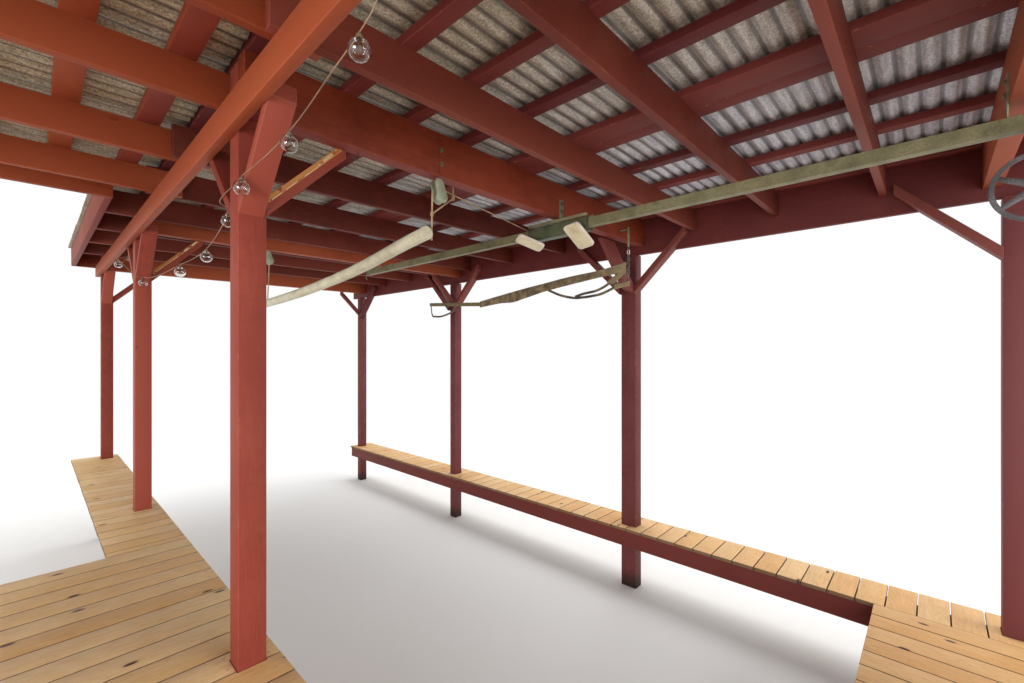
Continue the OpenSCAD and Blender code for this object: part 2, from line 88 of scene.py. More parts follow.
def add_node(tree: Tree, kind: str, links: dict | None = None, **settings) -> bpy.types.Node:
    """Add a shader node with its settings and inputs.

    Args:
        tree: Node tree that takes it.
        kind: Node type without its ShaderNode prefix.
        links: Input name or index to a value, a node or a (node, output) pair.
        **settings: Properties of the node.

    Returns:
        The new node.
    """
    node = tree.nodes.new("ShaderNode" + kind)
    for name, value in settings.items():
        setattr(node, name, value)
    for name, value in (links or {}).items():
        if isinstance(value, bpy.types.Node):
            tree.links.new(value.outputs[0], node.inputs[name])
        elif isinstance(value, tuple) and isinstance(value[0], bpy.types.Node):
            tree.links.new(value[0].outputs[value[1]], node.inputs[name])
        else:
            node.inputs[name].default_value = value
    return node


def ramp(tree: Tree, source: Source, stops: list[tuple[float, str]], smooth: bool = True) -> bpy.types.Node:
    """Add a colour ramp fed by a source.

    Args:
        tree: Node tree that takes it.
        source: Node or (node, output) pair for the factor.
        stops: Places and hex colours in order.
        smooth: Whether the colours ease into each other.

    Returns:
        The ramp node.
    """
    node = add_node(tree, "ValToRGB", {"Fac": source})
    node.color_ramp.interpolation = "EASE" if smooth else "LINEAR"
    while len(node.color_ramp.elements) < len(stops):
        node.color_ramp.elements.new(0.5)
    for element, (place, colour) in zip(node.color_ramp.elements, stops):
        element.position = place
        element.color = linear(colour)
    return node


def mask(tree: Tree, source: Source, low: float, high: float, share: float = 1.0) -> bpy.types.Node:
    """Map a value smoothly to 0..share between two limits, clamped.

    Args:
        tree: Node tree that takes it.
        source: Node or (node, output) pair.
        low: Value that gives 0.
        high: Value that gives the share.
        share: Strongest value, at most 1.

    Returns:
        The map range node.
    """
    return add_node(tree, "MapRange", {0: source, 1: low, 2: high, 4: share}, interpolation_type="SMOOTHSTEP")


def mix(
    tree: Tree,
    factor: Source | float,
    first: Source | tuple[float, ...],
    second: Source | tuple[float, ...],
    blend: str = "MIX",
) -> tuple[bpy.types.Node, int]:
    """Mix two colours.

    Args:
        tree: Node tree that takes it.
        factor: Node, pair or number.
        first: Node, pair or linear colour.
        second: Node, pair or linear colour.
        blend: Blend type.

    Returns:
        The node and the index of its colour output.
    """
    node = add_node(tree, "Mix", {0: factor, 6: first, 7: second}, data_type="RGBA", blend_type=blend)
    return (node, 2)


def new_material(name: str) -> tuple[Finish, Tree, bpy.types.Node]:
    """Make a material with an empty principled shader.

    Args:
        name: Name of the finish.

    Returns:
        The material, its tree and its shader node.
    """
    material = bpy.data.materials.new(name)
    material.use_nodes = True
    tree = material.node_tree
    return material, tree, tree.nodes["Principled BSDF"]


def paint(tree: Tree, shader: bpy.types.Node, colour: Source) -> None:
    """Lead a colour into the shader's base colour."""
    node, output = colour if isinstance(colour, tuple) else (colour, 0)
    tree.links.new(node.outputs[output], shader.inputs["Base Color"])


def finish_relief(
    tree: Tree, shader: bpy.types.Node, height: Source, strength: float, depth: float
) -> None:
    """Lead a bump into the shader.

    Args:
        tree: Node tree that takes it.
        shader: Shader that gets the bump.
        height: Pattern of the relief.
        strength: Strength of the bump.
        depth: Height of the relief in metres.
    """
    bump = add_node(tree, "Bump", {"Height": height, "Strength": strength, "Distance": depth})
    tree.links.new(bump.outputs[0], shader.inputs["Normal"])


def set_roughness(tree: Tree, shader: bpy.types.Node, source: Source, low: float, high: float) -> None:
    """Lead a roughness between two limits into the shader.

    Args:
        tree: Node tree that takes it.
        shader: Shader that gets it.
        source: Pattern from 0 to 1.
        low: Roughness where the pattern is 0.
        high: Roughness where it is 1.
    """
    rough = add_node(tree, "MapRange", {0: source, 3: low, 4: high})
    tree.links.new(rough.outputs[0], shader.inputs["Roughness"])


def white_rays(tree: Tree) -> bpy.types.Node:
    """Value that is 1 for camera, glossy and transmission rays and 0 for the rest."""
    path = add_node(tree, "LightPath")
    seen = (path, "Is Camera Ray")
    for kind in ("Is Glossy Ray", "Is Transmission Ray"):
        seen = add_node(tree, "Math", {0: seen, 1: (path, kind)}, operation="MAXIMUM")
    return seen


def deselect() -> None:
    """Leave edit mode and deselect everything."""
    if bpy.context.object is not None and bpy.context.object.mode != "OBJECT":
        bpy.ops.object.mode_set(mode="OBJECT")
    bpy.ops.object.select_all(action="DESELECT")


def activate(obj: Piece) -> None:
    """Select only this object and make it active."""
    deselect()
    obj.select_set(True)
    bpy.context.view_layer.objects.active = obj


def apply_modifier(obj: Piece, kind: str, **settings) -> None:
    """Add a modifier and apply it.

    Args:
        obj: Object that takes it.
        kind: Modifier type.
        **settings: Its properties.
    """
    activate(obj)
    modifier = obj.modifiers.new(kind.lower(), kind)
    for name, value in settings.items():
        setattr(modifier, name, value)
    bpy.ops.object.modifier_apply(modifier=modifier.name)


def new_piece(name: str, data: bpy.types.ID) -> Piece:
    """Add an object for a mesh, curve, camera or lamp to the scene."""
    obj = bpy.data.objects.new(name, data)
    bpy.context.scene.collection.objects.link(obj)
    return obj


def settle(obj: Piece, name: str) -> Piece:
    """Name an object and move its place into its mesh."""
    activate(obj)
    bpy.ops.object.transform_apply(location=True, rotation=True, scale=True)
    obj.name = name
    obj.data.name = name
    return obj


def add_block(lo: Vector, hi: Vector, name: str = "block") -> Piece:
    """Add a box between two corners, with its place in its mesh.

    Args:
        lo: Lowest corner.
        hi: Highest corner.
        name: Name of the object.

    Returns:
        The new object.
    """
    deselect()
    lo, hi = Vector(lo), Vector(hi)
    bpy.ops.mesh.primitive_cube_add(size=1, location=(lo + hi) / 2, scale=hi - lo)
    return settle(bpy.context.object, name)


def ease_edges(obj: Piece, width: float, segments: int = 2, worn_slot: int = -1) -> None:
    """Round the sharp edges of a mesh.

    Args:
        obj: Object to work on.
        width: Width of the rounding.
        segments: Steps across it.
        worn_slot: Material slot of the new faces, or -1 for their neighbours'.
    """
    apply_modifier(
        obj,
        "BEVEL",
        width=width,
        segments=segments,
        limit_method="ANGLE",
        angle_limit=math.radians(35),
        material=worn_slot,
        use_clamp_overlap=True,
    )


def shade(obj: Piece, degrees: float = 35) -> None:
    """Shade smooth up to an angle."""
    activate(obj)
    bpy.ops.object.shade_smooth_by_angle(angle=math.radians(degrees))


def join(objects: list[Piece], name: str) -> Piece:
    """Join objects into one.

    Args:
        objects: Meshes to join, at the origin.
        name: Name of the result.

    Returns:
        The joined object.
    """
    deselect()
    for obj in objects:
        obj.select_set(True)
    bpy.context.view_layer.objects.active = objects[0]
    if len(objects) > 1:
        bpy.ops.object.join()
    objects[0].name = name
    objects[0].data.name = name
    return objects[0]


def copy_shape(pattern: Piece, place: Matrix) -> Piece:
    """Copy a modelled shape with its own mesh, moved by a matrix.

    Args:
        pattern: Object to copy.
        place: Matrix that moves the copy's mesh.

    Returns:
        The copy.
    """
    made = new_piece(pattern.name, pattern.data.copy())
    made.data.transform(place)
    return made


def remove(obj: Piece) -> None:
    """Delete a pattern object once it has been copied."""
    bpy.data.objects.remove(obj, do_unlink=True)


def spin_profile(name: str, profile: list[tuple[float, float]], steps: int = 24) -> Piece:
    """Turn a profile round the Z axis.

    Args:
        name: Name of the object.
        profile: Radius and height of each point, from one end to the other.
        steps: Steps round the axis.

    Returns:
        The turned object, closed and with normals outwards.
    """
    deselect()
    mesh = bpy.data.meshes.new(name)
    mesh.from_pydata([(r, 0, z) for r, z in profile], [(i, i + 1) for i in range(len(profile) - 1)], [])
    obj = new_piece(name, mesh)
    activate(obj)
    bpy.ops.object.mode_set(mode="EDIT")
    bpy.ops.mesh.select_all(action="SELECT")
    bpy.ops.mesh.spin(steps=steps, angle=2 * math.pi, center=(0, 0, 0), axis=(0, 0, 1))
    bpy.ops.mesh.select_all(action="SELECT")
    bpy.ops.mesh.remove_doubles(threshold=1e-5)
    bpy.ops.mesh.normals_make_consistent(inside=False)
    bpy.ops.object.mode_set(mode="OBJECT")
    return obj


def prism(name: str, outline: list[Vector], push: Vector, ease: float = 0.0) -> Piece:
    """Make a solid from a flat outline pushed along a vector.

    Args:
        name: Name of the object.
        outline: Corners of the outline in order.
        push: Vector from the outline to the far face.
        ease: Width of the rounded edges, or 0 for sharp ones.

    Returns:
        The closed solid.
    """
    deselect()
    mesh = bpy.data.meshes.new(name)
    mesh.from_pydata([tuple(p) for p in outline], [], [tuple(range(len(outline)))])
    obj = new_piece(name, mesh)
    activate(obj)
    bpy.ops.object.mode_set(mode="EDIT")
    bpy.ops.mesh.select_all(action="SELECT")
    bpy.ops.mesh.extrude_region_move(TRANSFORM_OT_translate={"value": tuple(push)})
    bpy.ops.mesh.select_all(action="SELECT")
    bpy.ops.mesh.normals_make_consistent(inside=False)
    bpy.ops.object.mode_set(mode="OBJECT")
    if ease > 0:
        ease_edges(obj, ease, 2)
    return obj


def eased_copy(node: str, name: str, ease: float, worn_slot: int = -1) -> Piece:
    """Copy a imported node, merge its triangles into flat faces and round its edges.

    Args:
        node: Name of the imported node.
        name: Name of the copy.
        ease: Width of the rounded edges.
        worn_slot: Material slot of the rounded edges, or -1 for one slot.

    Returns:
        The eased copy.
    """
    mesh = bpy.data.meshes.new_from_object(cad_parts[node])
    obj = new_piece(name, mesh)
    obj.data.materials.clear()
    activate(obj)
    bpy.ops.object.mode_set(mode="EDIT")
    bpy.ops.mesh.select_all(action="SELECT")
    bpy.ops.mesh.remove_doubles(threshold=1e-5)
    bpy.ops.mesh.dissolve_limited(angle_limit=math.radians(0.5))
    bpy.ops.object.mode_set(mode="OBJECT")
    for _ in range(worn_slot + 1):
        obj.data.materials.append(None)
    ease_edges(obj, ease, 2, worn_slot)
    return obj


def smooth_route(points: list[Point], steps: int) -> list[Vector]:
    """Draw a smooth line through points.

    Args:
        points: Points that the line passes.
        steps: Parts between two points.

    Returns:
        Points along the line.
    """
    pts = [Vector(p) for p in points]
    made = []
    for i in range(len(pts) - 1):
        p0, p1, p2, p3 = pts[max(i - 1, 0)], pts[i], pts[i + 1], pts[min(i + 2, len(pts) - 1)]
        for k in range(steps):
            t = k / steps
            made.append(
                0.5
                * (
                    2 * p1
                    + (p2 - p0) * t
                    + (2 * p0 - 5 * p1 + 4 * p2 - p3) * t**2
                    + (3 * p1 - p0 - 3 * p2 + p3) * t**3
                )
            )
    return made + [pts[-1]]


def add_line(name: str, points: list[Vector], radius: float, resolution: int = 3) -> Piece:
    """Add a round curve along points.

    Args:
        name: Name of the object.
        points: Its centre line.
        radius: Radius of the curve.
        resolution: Steps round a quarter of it.

    Returns:
        The curve object.
    """
    data = bpy.data.curves.new(name, "CURVE")
    data.dimensions = "3D"
    data.bevel_depth = radius
    data.bevel_resolution = resolution
    data.use_fill_caps = True
    spline = data.splines.new("POLY")
    spline.points.add(len(points) - 1)
    for point, place in zip(spline.points, points):
        point.co = (*place, 1)
    return new_piece(name, data)


def line_mesh(name: str, points: list[Vector], radius: float, resolution: int = 2) -> Piece:
    """Add a round line along points as a mesh."""
    obj = add_line(name, points, radius, resolution)
    activate(obj)
    bpy.ops.object.convert(target="MESH")
    return bpy.context.object


def mark_grain(obj: Piece, rng: random.Random, axis: GrainAxis | None = None) -> None:
    """Give each loose member of a mesh its own grain coordinates and tone.

    The attribute "grain" runs along the member in x and across it in y and z, in metres, shifted for each
    member so that no two look alike. The attribute "tone" is one random number a member.

    Args:
        obj: Object whose loose parts are members.
        rng: Source of the shifts and tones.
        axis: Axis of the grain, or None for each member's longest edge.
    """
    mesh = obj.data
    shape = bmesh.new()
    shape.from_mesh(mesh)
    shape.verts.ensure_lookup_table()
    grain = [Vector()] * len(shape.verts)
    tone = [0.5] * len(shape.verts)
    seen: set[int] = set()
    for seed in shape.verts:
        if seed.index in seen:
            continue
        seen.add(seed.index)
        island, heap = [], [seed]
        while heap:
            vert = heap.pop()
            island.append(vert)
            for edge in vert.link_edges:
                other = edge.other_vert(vert)
                if other.index not in seen:
                    seen.add(other.index)
                    heap.append(other)
        if axis is None:
            edges = {e for v in island for e in v.link_edges}
            longest = max(edges, key=lambda e: e.calc_length())
            along = (longest.verts[1].co - longest.verts[0].co).normalized()
            if along[max(range(3), key=lambda i: abs(along[i]))] < 0:
                along = -along
        else:
            along = Vector([float(i == axis.value) for i in range(3)])
        helper = Vector((0, 0, 1)) if abs(along.z) < 0.8 else Vector((1, 0, 0))
        across = along.cross(helper).normalized()
        third = along.cross(across)
        shift = Vector([rng.uniform(-20, 20) for _ in range(3)])
        level = rng.random()
        for vert in island:
            grain[vert.index] = Vector((vert.co.dot(along), vert.co.dot(across), vert.co.dot(third))) + shift
            tone[vert.index] = level
    shape.free()
    layer = mesh.attributes.new("grain", "FLOAT_VECTOR", "POINT")
    layer.data.foreach_set("vector", [c for v in grain for c in v])
    layer = mesh.attributes.new("tone", "FLOAT", "POINT")
    layer.data.foreach_set("value", tone)


def place_piece(
    obj: Piece,
    name: str,
    materials: list[Finish],
    nodes: tuple[str, ...] = (),
    body: str = BUILDING,
) -> Piece:
    """Name, paint and mount a finished piece.

    Args:
        obj: Finished object at the origin.
        name: Name of the piece.
        materials: Materials for its slots in order.
        nodes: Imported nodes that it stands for.
        body: Body that carries it.

    Returns:
        The piece.
    """
    obj.name = name
    if len(obj.data.materials) == 0:
        for material in materials:
            obj.data.materials.append(material)
    else:
        for i, material in enumerate(materials):
            obj.data.materials[i] = material
    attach(obj, body)
    if nodes:
        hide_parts(*nodes)
    log.info("%s stands for %s on %s", name, ", ".join(nodes) or "nothing", body)
    return obj


# Finishes


@dataclass(frozen=True)
class StainedTimber:
    """Solid-stain softwood: a thin satin film that shows sawn grain, knots and lighter rubbed edges."""

    name: str
    film: str
    shade: str
    light: str
    # Painted light: tint of the undersides, for light bounced up from below
    under: str
    rub: str = "#b06a48"
    rub_cover: float = 0.0
    wet_foot: bool = False
    roughness: float = 0.62

    def make(self) -> Finish:
        """Build the material."""
        material, tree, shader = new_material(self.name)
        grain = add_node(tree, "Attribute", attribute_name="grain")
        tone = add_node(tree, "Attribute", attribute_name="tone")
        # Grain lines 5 mm apart and 20 times as long, drawn coarser than the real 2 mm so that they show
        drawn = add_node(tree, "Mapping", {"Vector": (grain, "Vector"), "Scale": (0.05, 1, 1)})
        lines = add_node(tree, "TexNoise", {"Vector": drawn, "Scale": 190, "Detail": 5, "Roughness": 0.62})
        # Cloudy tone every 300 mm and blotches of 45 mm from brushing
        cloud = add_node(tree, "TexNoise", {"Vector": (grain, "Vector"), "Scale": 3.2, "Detail": 3})
        blotch = add_node(
            tree, "TexNoise", {"Vector": (grain, "Vector"), "Scale": 22, "Detail": 6, "Roughness": 0.65}
        )
        mixed = (tone, "Fac")
        for part, share in ((cloud, 0.55), (lines, 0.5), (blotch, 0.35)):
            mixed = add_node(tree, "Math", {0: part, 1: share, 2: mixed}, operation="MULTIPLY_ADD")
        level = mask(tree, mixed, 0.45, 1.5)
        colour = ramp(tree, level, [(0.0, self.shade), (0.5, self.film), (1.0, self.light)])
        # Knots 25 mm long about every 350 mm
        spots = add_node(tree, "Mapping", {"Vector": (grain, "Vector"), "Scale": (1.0, 2.2, 2.2)})
        knots = add_node(tree, "TexVoronoi", {"Vector": spots, "Scale": 2.8, "Randomness": 1.0})
        knot = mask(tree, (knots, "Distance"), 0.06, 0.025)
        dark = mix(tree, knot, colour, linear(self.shade), "MULTIPLY")
        colour = mix(tree, 0.35, colour, dark)
        # Undersides get a cooler painted tint, painted light for the light bounced up from below
        normal = add_node(tree, "NewGeometry")
        height = add_node(tree, "SeparateXYZ", {"Vector": (normal, "Normal")})
        down = mask(tree, (height, "Z"), -0.6, -0.9)
        colour = mix(tree, down, colour, mix(tree, level, linear(self.under), colour))
        if self.rub_cover > 0:
            rubbed = mask(tree, blotch, 0.62 - 0.2 * self.rub_cover, 0.72 - 0.2 * self.rub_cover)
            colour = mix(tree, rubbed, colour, linear(self.rub))
        if self.wet_foot:
            spot = add_node(tree, "TexCoord")
            place = add_node(tree, "SeparateXYZ", {"Vector": (spot, "Object")})
            # Dark with damp and algae below 60 mm, gone at 240 mm, with a ragged edge
            edge = add_node(tree, "Math", {0: blotch, 1: 0.12, 2: (place, "Z")}, operation="MULTIPLY_ADD")
            wet = mask(tree, edge, 0.24, 0.06)
            colour = mix(tree, wet, colour, linear("#2e2018"))
        paint(tree, shader, colour)
        shader.inputs["IOR"].default_value = 1.48
        shader.inputs["Specular IOR Level"].default_value = 0.28
        set_roughness(tree, shader, lines, self.roughness - 0.1, self.roughness + 0.12)
        relief = add_node(tree, "Math", {0: blotch, 1: 0.6, 2: lines}, operation="MULTIPLY_ADD")
        finish_relief(tree, shader, relief, 0.3, 0.0016)
        return material


@dataclass(frozen=True)
class OiledDeckBoard:
    """Clear-sealed pine deck board: honey colour, flat-sawn figure and dark oval knots."""

    name: str
    base: str
    early: str
    late: str
    knot: str = "#4a2c18"
    # Painted shade of the faces inside the board gaps
    gap: str = "#4a3020"
    speck: str = "#7a5030"
    # Tints of single boards
    tints: tuple[tuple[float, str], ...] = (
        (0.0, "#f0dcc0"), (0.3, "#fbf0dc"), (0.7, "#ffffff"), (1.0, "#f4dfbd"),
    )

    def make(self) -> Finish:
        """Build the material."""
        material, tree, shader = new_material(self.name)
        grain = add_node(tree, "Attribute", attribute_name="grain")
        tone = add_node(tree, "Attribute", attribute_name="tone")
        # Contours of a slow field drawn out along the board give the arches of flat-sawn pine, 7 mm apart
        drawn = add_node(tree, "Mapping", {"Vector": (grain, "Vector"), "Scale": (0.09, 1, 1)})
        field_ = add_node(tree, "TexNoise", {"Vector": drawn, "Scale": 9, "Detail": 2, "Distortion": 0.4})
        rings = add_node(tree, "Math", {0: field_, 1: 110}, operation="MULTIPLY")
        rings = add_node(tree, "Math", {0: rings}, operation="SINE")
        fibre = add_node(tree, "TexNoise", {"Vector": drawn, "Scale": 260, "Detail": 4, "Roughness": 0.6})
        cloud = add_node(tree, "TexNoise", {"Vector": (grain, "Vector"), "Scale": 4, "Detail": 4})
        figure = add_node(tree, "Math", {0: rings, 1: 0.09, 2: fibre}, operation="MULTIPLY_ADD")
        figure = add_node(tree, "Math", {0: cloud, 1: 0.7, 2: figure}, operation="MULTIPLY_ADD")
        level = mask(tree, figure, 0.3, 1.4)
        colour = ramp(tree, level, [(0.0, self.late), (0.5, self.base), (1.0, self.early)])
        colour = mix(tree, 0.8, colour, ramp(tree, (tone, "Fac"), list(self.tints)), "MULTIPLY")
        # Oval knots 50 by 20 mm, about one in each 1.3 m of board, drawn through the board's thickness
        spots = add_node(tree, "Mapping", {"Vector": (grain, "Vector"), "Scale": (1.0, 2.4, 1.0)})
        knots = add_node(
            tree, "TexVoronoi", {"Vector": spots, "Scale": 1.5, "Randomness": 1.0}, voronoi_dimensions="2D"
        )
        halo = mask(tree, (knots, "Distance"), 0.085, 0.03)
        colour = mix(tree, halo, colour, mix(tree, 0.5, colour, linear(self.late)))
        core = mask(tree, (knots, "Distance"), 0.042, 0.026)
        colour = mix(tree, core, colour, linear(self.knot))
        # The faces inside the gaps are painted dark: painted shade of the gaps between the boards
        turned = add_node(tree, "NewGeometry")
        upright = add_node(tree, "SeparateXYZ", {"Vector": (turned, "Normal")})
        flat = add_node(tree, "Math", {0: (upright, "Z")}, operation="ABSOLUTE")
        side = mask(tree, flat, 0.75, 0.25, 0.8)
        colour = mix(tree, side, colour, linear(self.gap))
        # Tiny resin specks of 4 mm
        specks = add_node(tree, "TexVoronoi", {"Vector": (grain, "Vector"), "Scale": 16, "Randomness": 1.0})
        speck = mask(tree, (specks, "Distance"), 0.075, 0.04, 0.55)
        colour = mix(tree, speck, colour, linear(self.speck))
        paint(tree, shader, colour)
        shader.inputs["IOR"].default_value = 1.5
        set_roughness(tree, shader, fibre, 0.5, 0.72)
        finish_relief(tree, shader, figure, 0.25, 0.0008)
        return material


@dataclass(frozen=True)
class GalvanisedSheet:
    """Hot-dip galvanised roof sheet gone dull: grey-beige film and brown runs, with a painted bluish
    highlight towards the catwalk, painted shade in the valleys and beside the purlins, and a painted pale
    overhang.
    """

    name: str = "galvanised_sheet"
    # Left edges of the slip purlins; painted shade lies over the last 70 mm of sheet before each
    purlin_edges: tuple[float, ...] = (-1.595, -1.219, -0.898, -0.555, -0.175, 0.424, 0.819, 1.204, 1.448)
    purlin_shade_width: float = 0.07
    purlin_shade_share: float = 0.5
    # Strength of the painted shade in the corrugation valleys
    groove_shade_share: float = 0.7
    rust_share: float = 0.4
    pitch: float = 0.072
    near_edge: float = -4.235
    # The overhang past the eave beam, painted pale: painted light on its underside, lit from outside
    lit_overhang_from: float = 1.525
    lit_overhang_to: float = 1.540
    roof_from: float = -4.0
    roof_to: float = 1.7

    def purlin_shade(self, tree: Tree, across: Source) -> bpy.types.Node:
        """Grey ramp of painted shade across the roof that rises towards each purlin's left edge and drops
        behind it.

        Args:
            tree: Node tree that takes it.
            across: Node and output of the place across the roof.

        Returns:
            The ramp node.
        """
        span = self.roof_to - self.roof_from
        share = add_node(tree, "MapRange", {0: across, 1: self.roof_from, 2: self.roof_to})
        stops = [(0.0, "#000000")]
        for edge in self.purlin_edges:
            place = edge - self.roof_from
            stops.append(((place - self.purlin_shade_width) / span, "#000000"))
            stops.append((place / span, "#ffffff"))
            stops.append(((place + 0.001) / span, "#000000"))
        return ramp(tree, share, stops, smooth=False)

    def make(self) -> Finish:
        """Build the material."""
        material, tree, shader = new_material(self.name)
        spot = add_node(tree, "TexCoord")
        place = add_node(tree, "SeparateXYZ", {"Vector": (spot, "Object")})
        # Runs drawn out along the ribs, 20 mm wide and 120 mm long
        drawn = add_node(tree, "Mapping", {"Vector": (spot, "Object"), "Scale": (0.17, 1, 1)})
        runs = add_node(tree, "TexNoise", {"Vector": drawn, "Scale": 50, "Detail": 4, "Roughness": 0.6})
        cloud = add_node(tree, "TexNoise", {"Vector": (spot, "Object"), "Scale": 1.6, "Detail": 4})
        # Mottle of 8 mm from dirt and lifted zinc
        mottle = add_node(
            tree, "TexNoise", {"Vector": (spot, "Object"), "Scale": 120, "Detail": 5, "Roughness": 0.7}
        )
        figure = add_node(tree, "Math", {0: runs, 1: 0.5, 2: mottle}, operation="MULTIPLY_ADD")
        level = mask(tree, figure, 0.55, 0.95)
        colour = ramp(tree, level, [(0.0, "#857b68"), (0.5, "#aca28e"), (1.0, "#cdc7ba")])
        # Towards the catwalk the sheet is painted bluer and paler, a painted highlight
        highlight_side = add_node(tree, "Math", {0: cloud, 1: 1.2, 2: (place, "X")}, operation="MULTIPLY_ADD")
        blue = mask(tree, highlight_side, -0.7, 1.4, 0.85)
        zinc = ramp(tree, level, [(0.0, "#9a9aa4"), (0.5, "#bcbcc6"), (1.0, "#d8dae4")])
        colour = mix(tree, blue, colour, zinc)
        # Painted shade in the valleys of the corrugation, counted from the near edge of the roof
        phase = add_node(tree, "Math", {0: (place, "Y"), 1: self.near_edge}, operation="SUBTRACT")
        phase = add_node(tree, "Math", {0: phase, 1: 2 * math.pi / self.pitch}, operation="MULTIPLY")
        wave = add_node(tree, "Math", {0: phase}, operation="COSINE")
        groove = mask(tree, wave, -0.5, -0.97, self.groove_shade_share)
        # The painted valley shade stops at the overhang past the eave beam
        eave = mask(tree, (place, "X"), self.lit_overhang_from, self.lit_overhang_to)
        groove_shade_reach = add_node(tree, "Math", {0: 1.0, 1: eave}, operation="SUBTRACT")
        groove = add_node(tree, "Math", {0: groove, 1: groove_shade_reach}, operation="MULTIPLY")
        colour = mix(tree, groove, colour, linear("#4a4648"))
        # Painted light: the overhang is painted pale as if lit from outside
        colour = mix(tree, eave, colour, linear("#e8e6ea"))
        # Painted shade beside each purlin's left edge
        purlin_shade = self.purlin_shade(tree, (place, "X"))
        purlin_shade = add_node(tree, "Math", {0: purlin_shade, 1: self.purlin_shade_share}, operation="MULTIPLY")
        colour = mix(tree, purlin_shade, colour, linear("#3c342e"))
        rust = mask(tree, runs, 0.64, 0.78, self.rust_share)
        colour = mix(tree, rust, colour, linear("#6a4c34"))
        paint(tree, shader, colour)
        shader.inputs["Metallic"].default_value = 0.35
        set_roughness(tree, shader, mottle, 0.42, 0.7)
        finish_relief(tree, shader, mottle, 0.2, 0.001)
        return material


@dataclass(frozen=True)
class AgedCoat:
    """Painted, cast or moulded surface with fine mottle, grime and small chips."""

    name: str
    base: str
    dark: str
    light: str
    grime: str = "#3c3a2c"
    grime_cover: float = 0.35
    mottle_mm: float = 9.0
    metallic: float = 0.0
    roughness: float = 0.6
    relief_mm: float = 0.4

    def make(self) -> Finish:
        """Build the material."""
        material, tree, shader = new_material(self.name)
        spot = add_node(tree, "TexCoord")
        fine = add_node(
            tree,
            "TexNoise",
            {"Vector": (spot, "Object"), "Scale": 1000 / self.mottle_mm, "Detail": 5, "Roughness": 0.65},
        )
        broad = add_node(tree, "TexNoise", {"Vector": (spot, "Object"), "Scale": 9, "Detail": 5})
        figure = add_node(tree, "Math", {0: fine, 1: 0.6, 2: broad}, operation="MULTIPLY_ADD")
        level = mask(tree, figure, 0.5, 1.1)
        colour = ramp(tree, level, [(0.0, self.dark), (0.5, self.base), (1.0, self.light)])
        cover = 0.3 * self.grime_cover
        dirt = mask(tree, broad, 0.68 - cover, 0.82 - cover, 0.7)
        colour = mix(tree, dirt, colour, linear(self.grime))
        paint(tree, shader, colour)
        shader.inputs["Metallic"].default_value = self.metallic
        set_roughness(tree, shader, fine, self.roughness - 0.1, self.roughness + 0.12)
        finish_relief(tree, shader, fine, 0.35, self.relief_mm * MM)
        return material


@dataclass(frozen=True)
class WovenWeb:
    """Woven polyester webbing, faded and stained: fine ribs across and darker wet patches."""

    name: str
    base: str
    dark: str
    light: str

    def make(self) -> Finish:
        """Build the material."""
        material, tree, shader = new_material(self.name)
        spot = add_node(tree, "TexCoord")
        # Ribs are woven 4 mm apart and drawn 8 mm apart so that they show
        ribs = add_node(
            tree,
            "TexWave",
            {"Vector": (spot, "Object"), "Scale": 40, "Distortion": 1.5, "Detail": 2},
            bands_direction="Y",
        )
        stain = add_node(
            tree, "TexNoise", {"Vector": (spot, "Object"), "Scale": 11, "Detail": 6, "Roughness": 0.65}
        )
        level = add_node(tree, "Math", {0: ribs, 1: 0.18, 2: stain}, operation="MULTIPLY_ADD")
        colour = ramp(tree, level, [(0.42, self.dark), (0.58, self.base), (0.74, self.light)])
        # The near end, 400 mm long, has faded in the light
        place = add_node(tree, "SeparateXYZ", {"Vector": (spot, "Object")})
        near = mask(tree, (place, "Y"), -1.0, -1.4, 0.5)
        paint(tree, shader, mix(tree, near, colour, linear(self.light)))
        shader.inputs["Roughness"].default_value = 0.88
        shader.inputs["Sheen Weight"].default_value = 0.15
        finish_relief(tree, shader, ribs, 0.4, 0.0012)
        return material


@dataclass(frozen=True)
class ClearGlass:
    """Blown soda glass of a clear lamp globe: thin wall, bright rim and sharp highlights."""

    name: str = "clear_globe_glass"

    def make(self) -> Finish:
        """Build the material."""
        material, _, shader = new_material(self.name)
        shader.inputs["Base Color"].default_value = linear("#f4f6f4")
        shader.inputs["Transmission Weight"].default_value = 1.0
        shader.inputs["Roughness"].default_value = 0.02
        shader.inputs["IOR"].default_value = 1.5
        return material


Coating = StainedTimber | OiledDeckBoard | GalvanisedSheet | AgedCoat | WovenWeb | ClearGlass


def once(finish: Coating) -> Finish:
    """Field whose material is made when the finishes are."""
    return field(default_factory=finish.make)


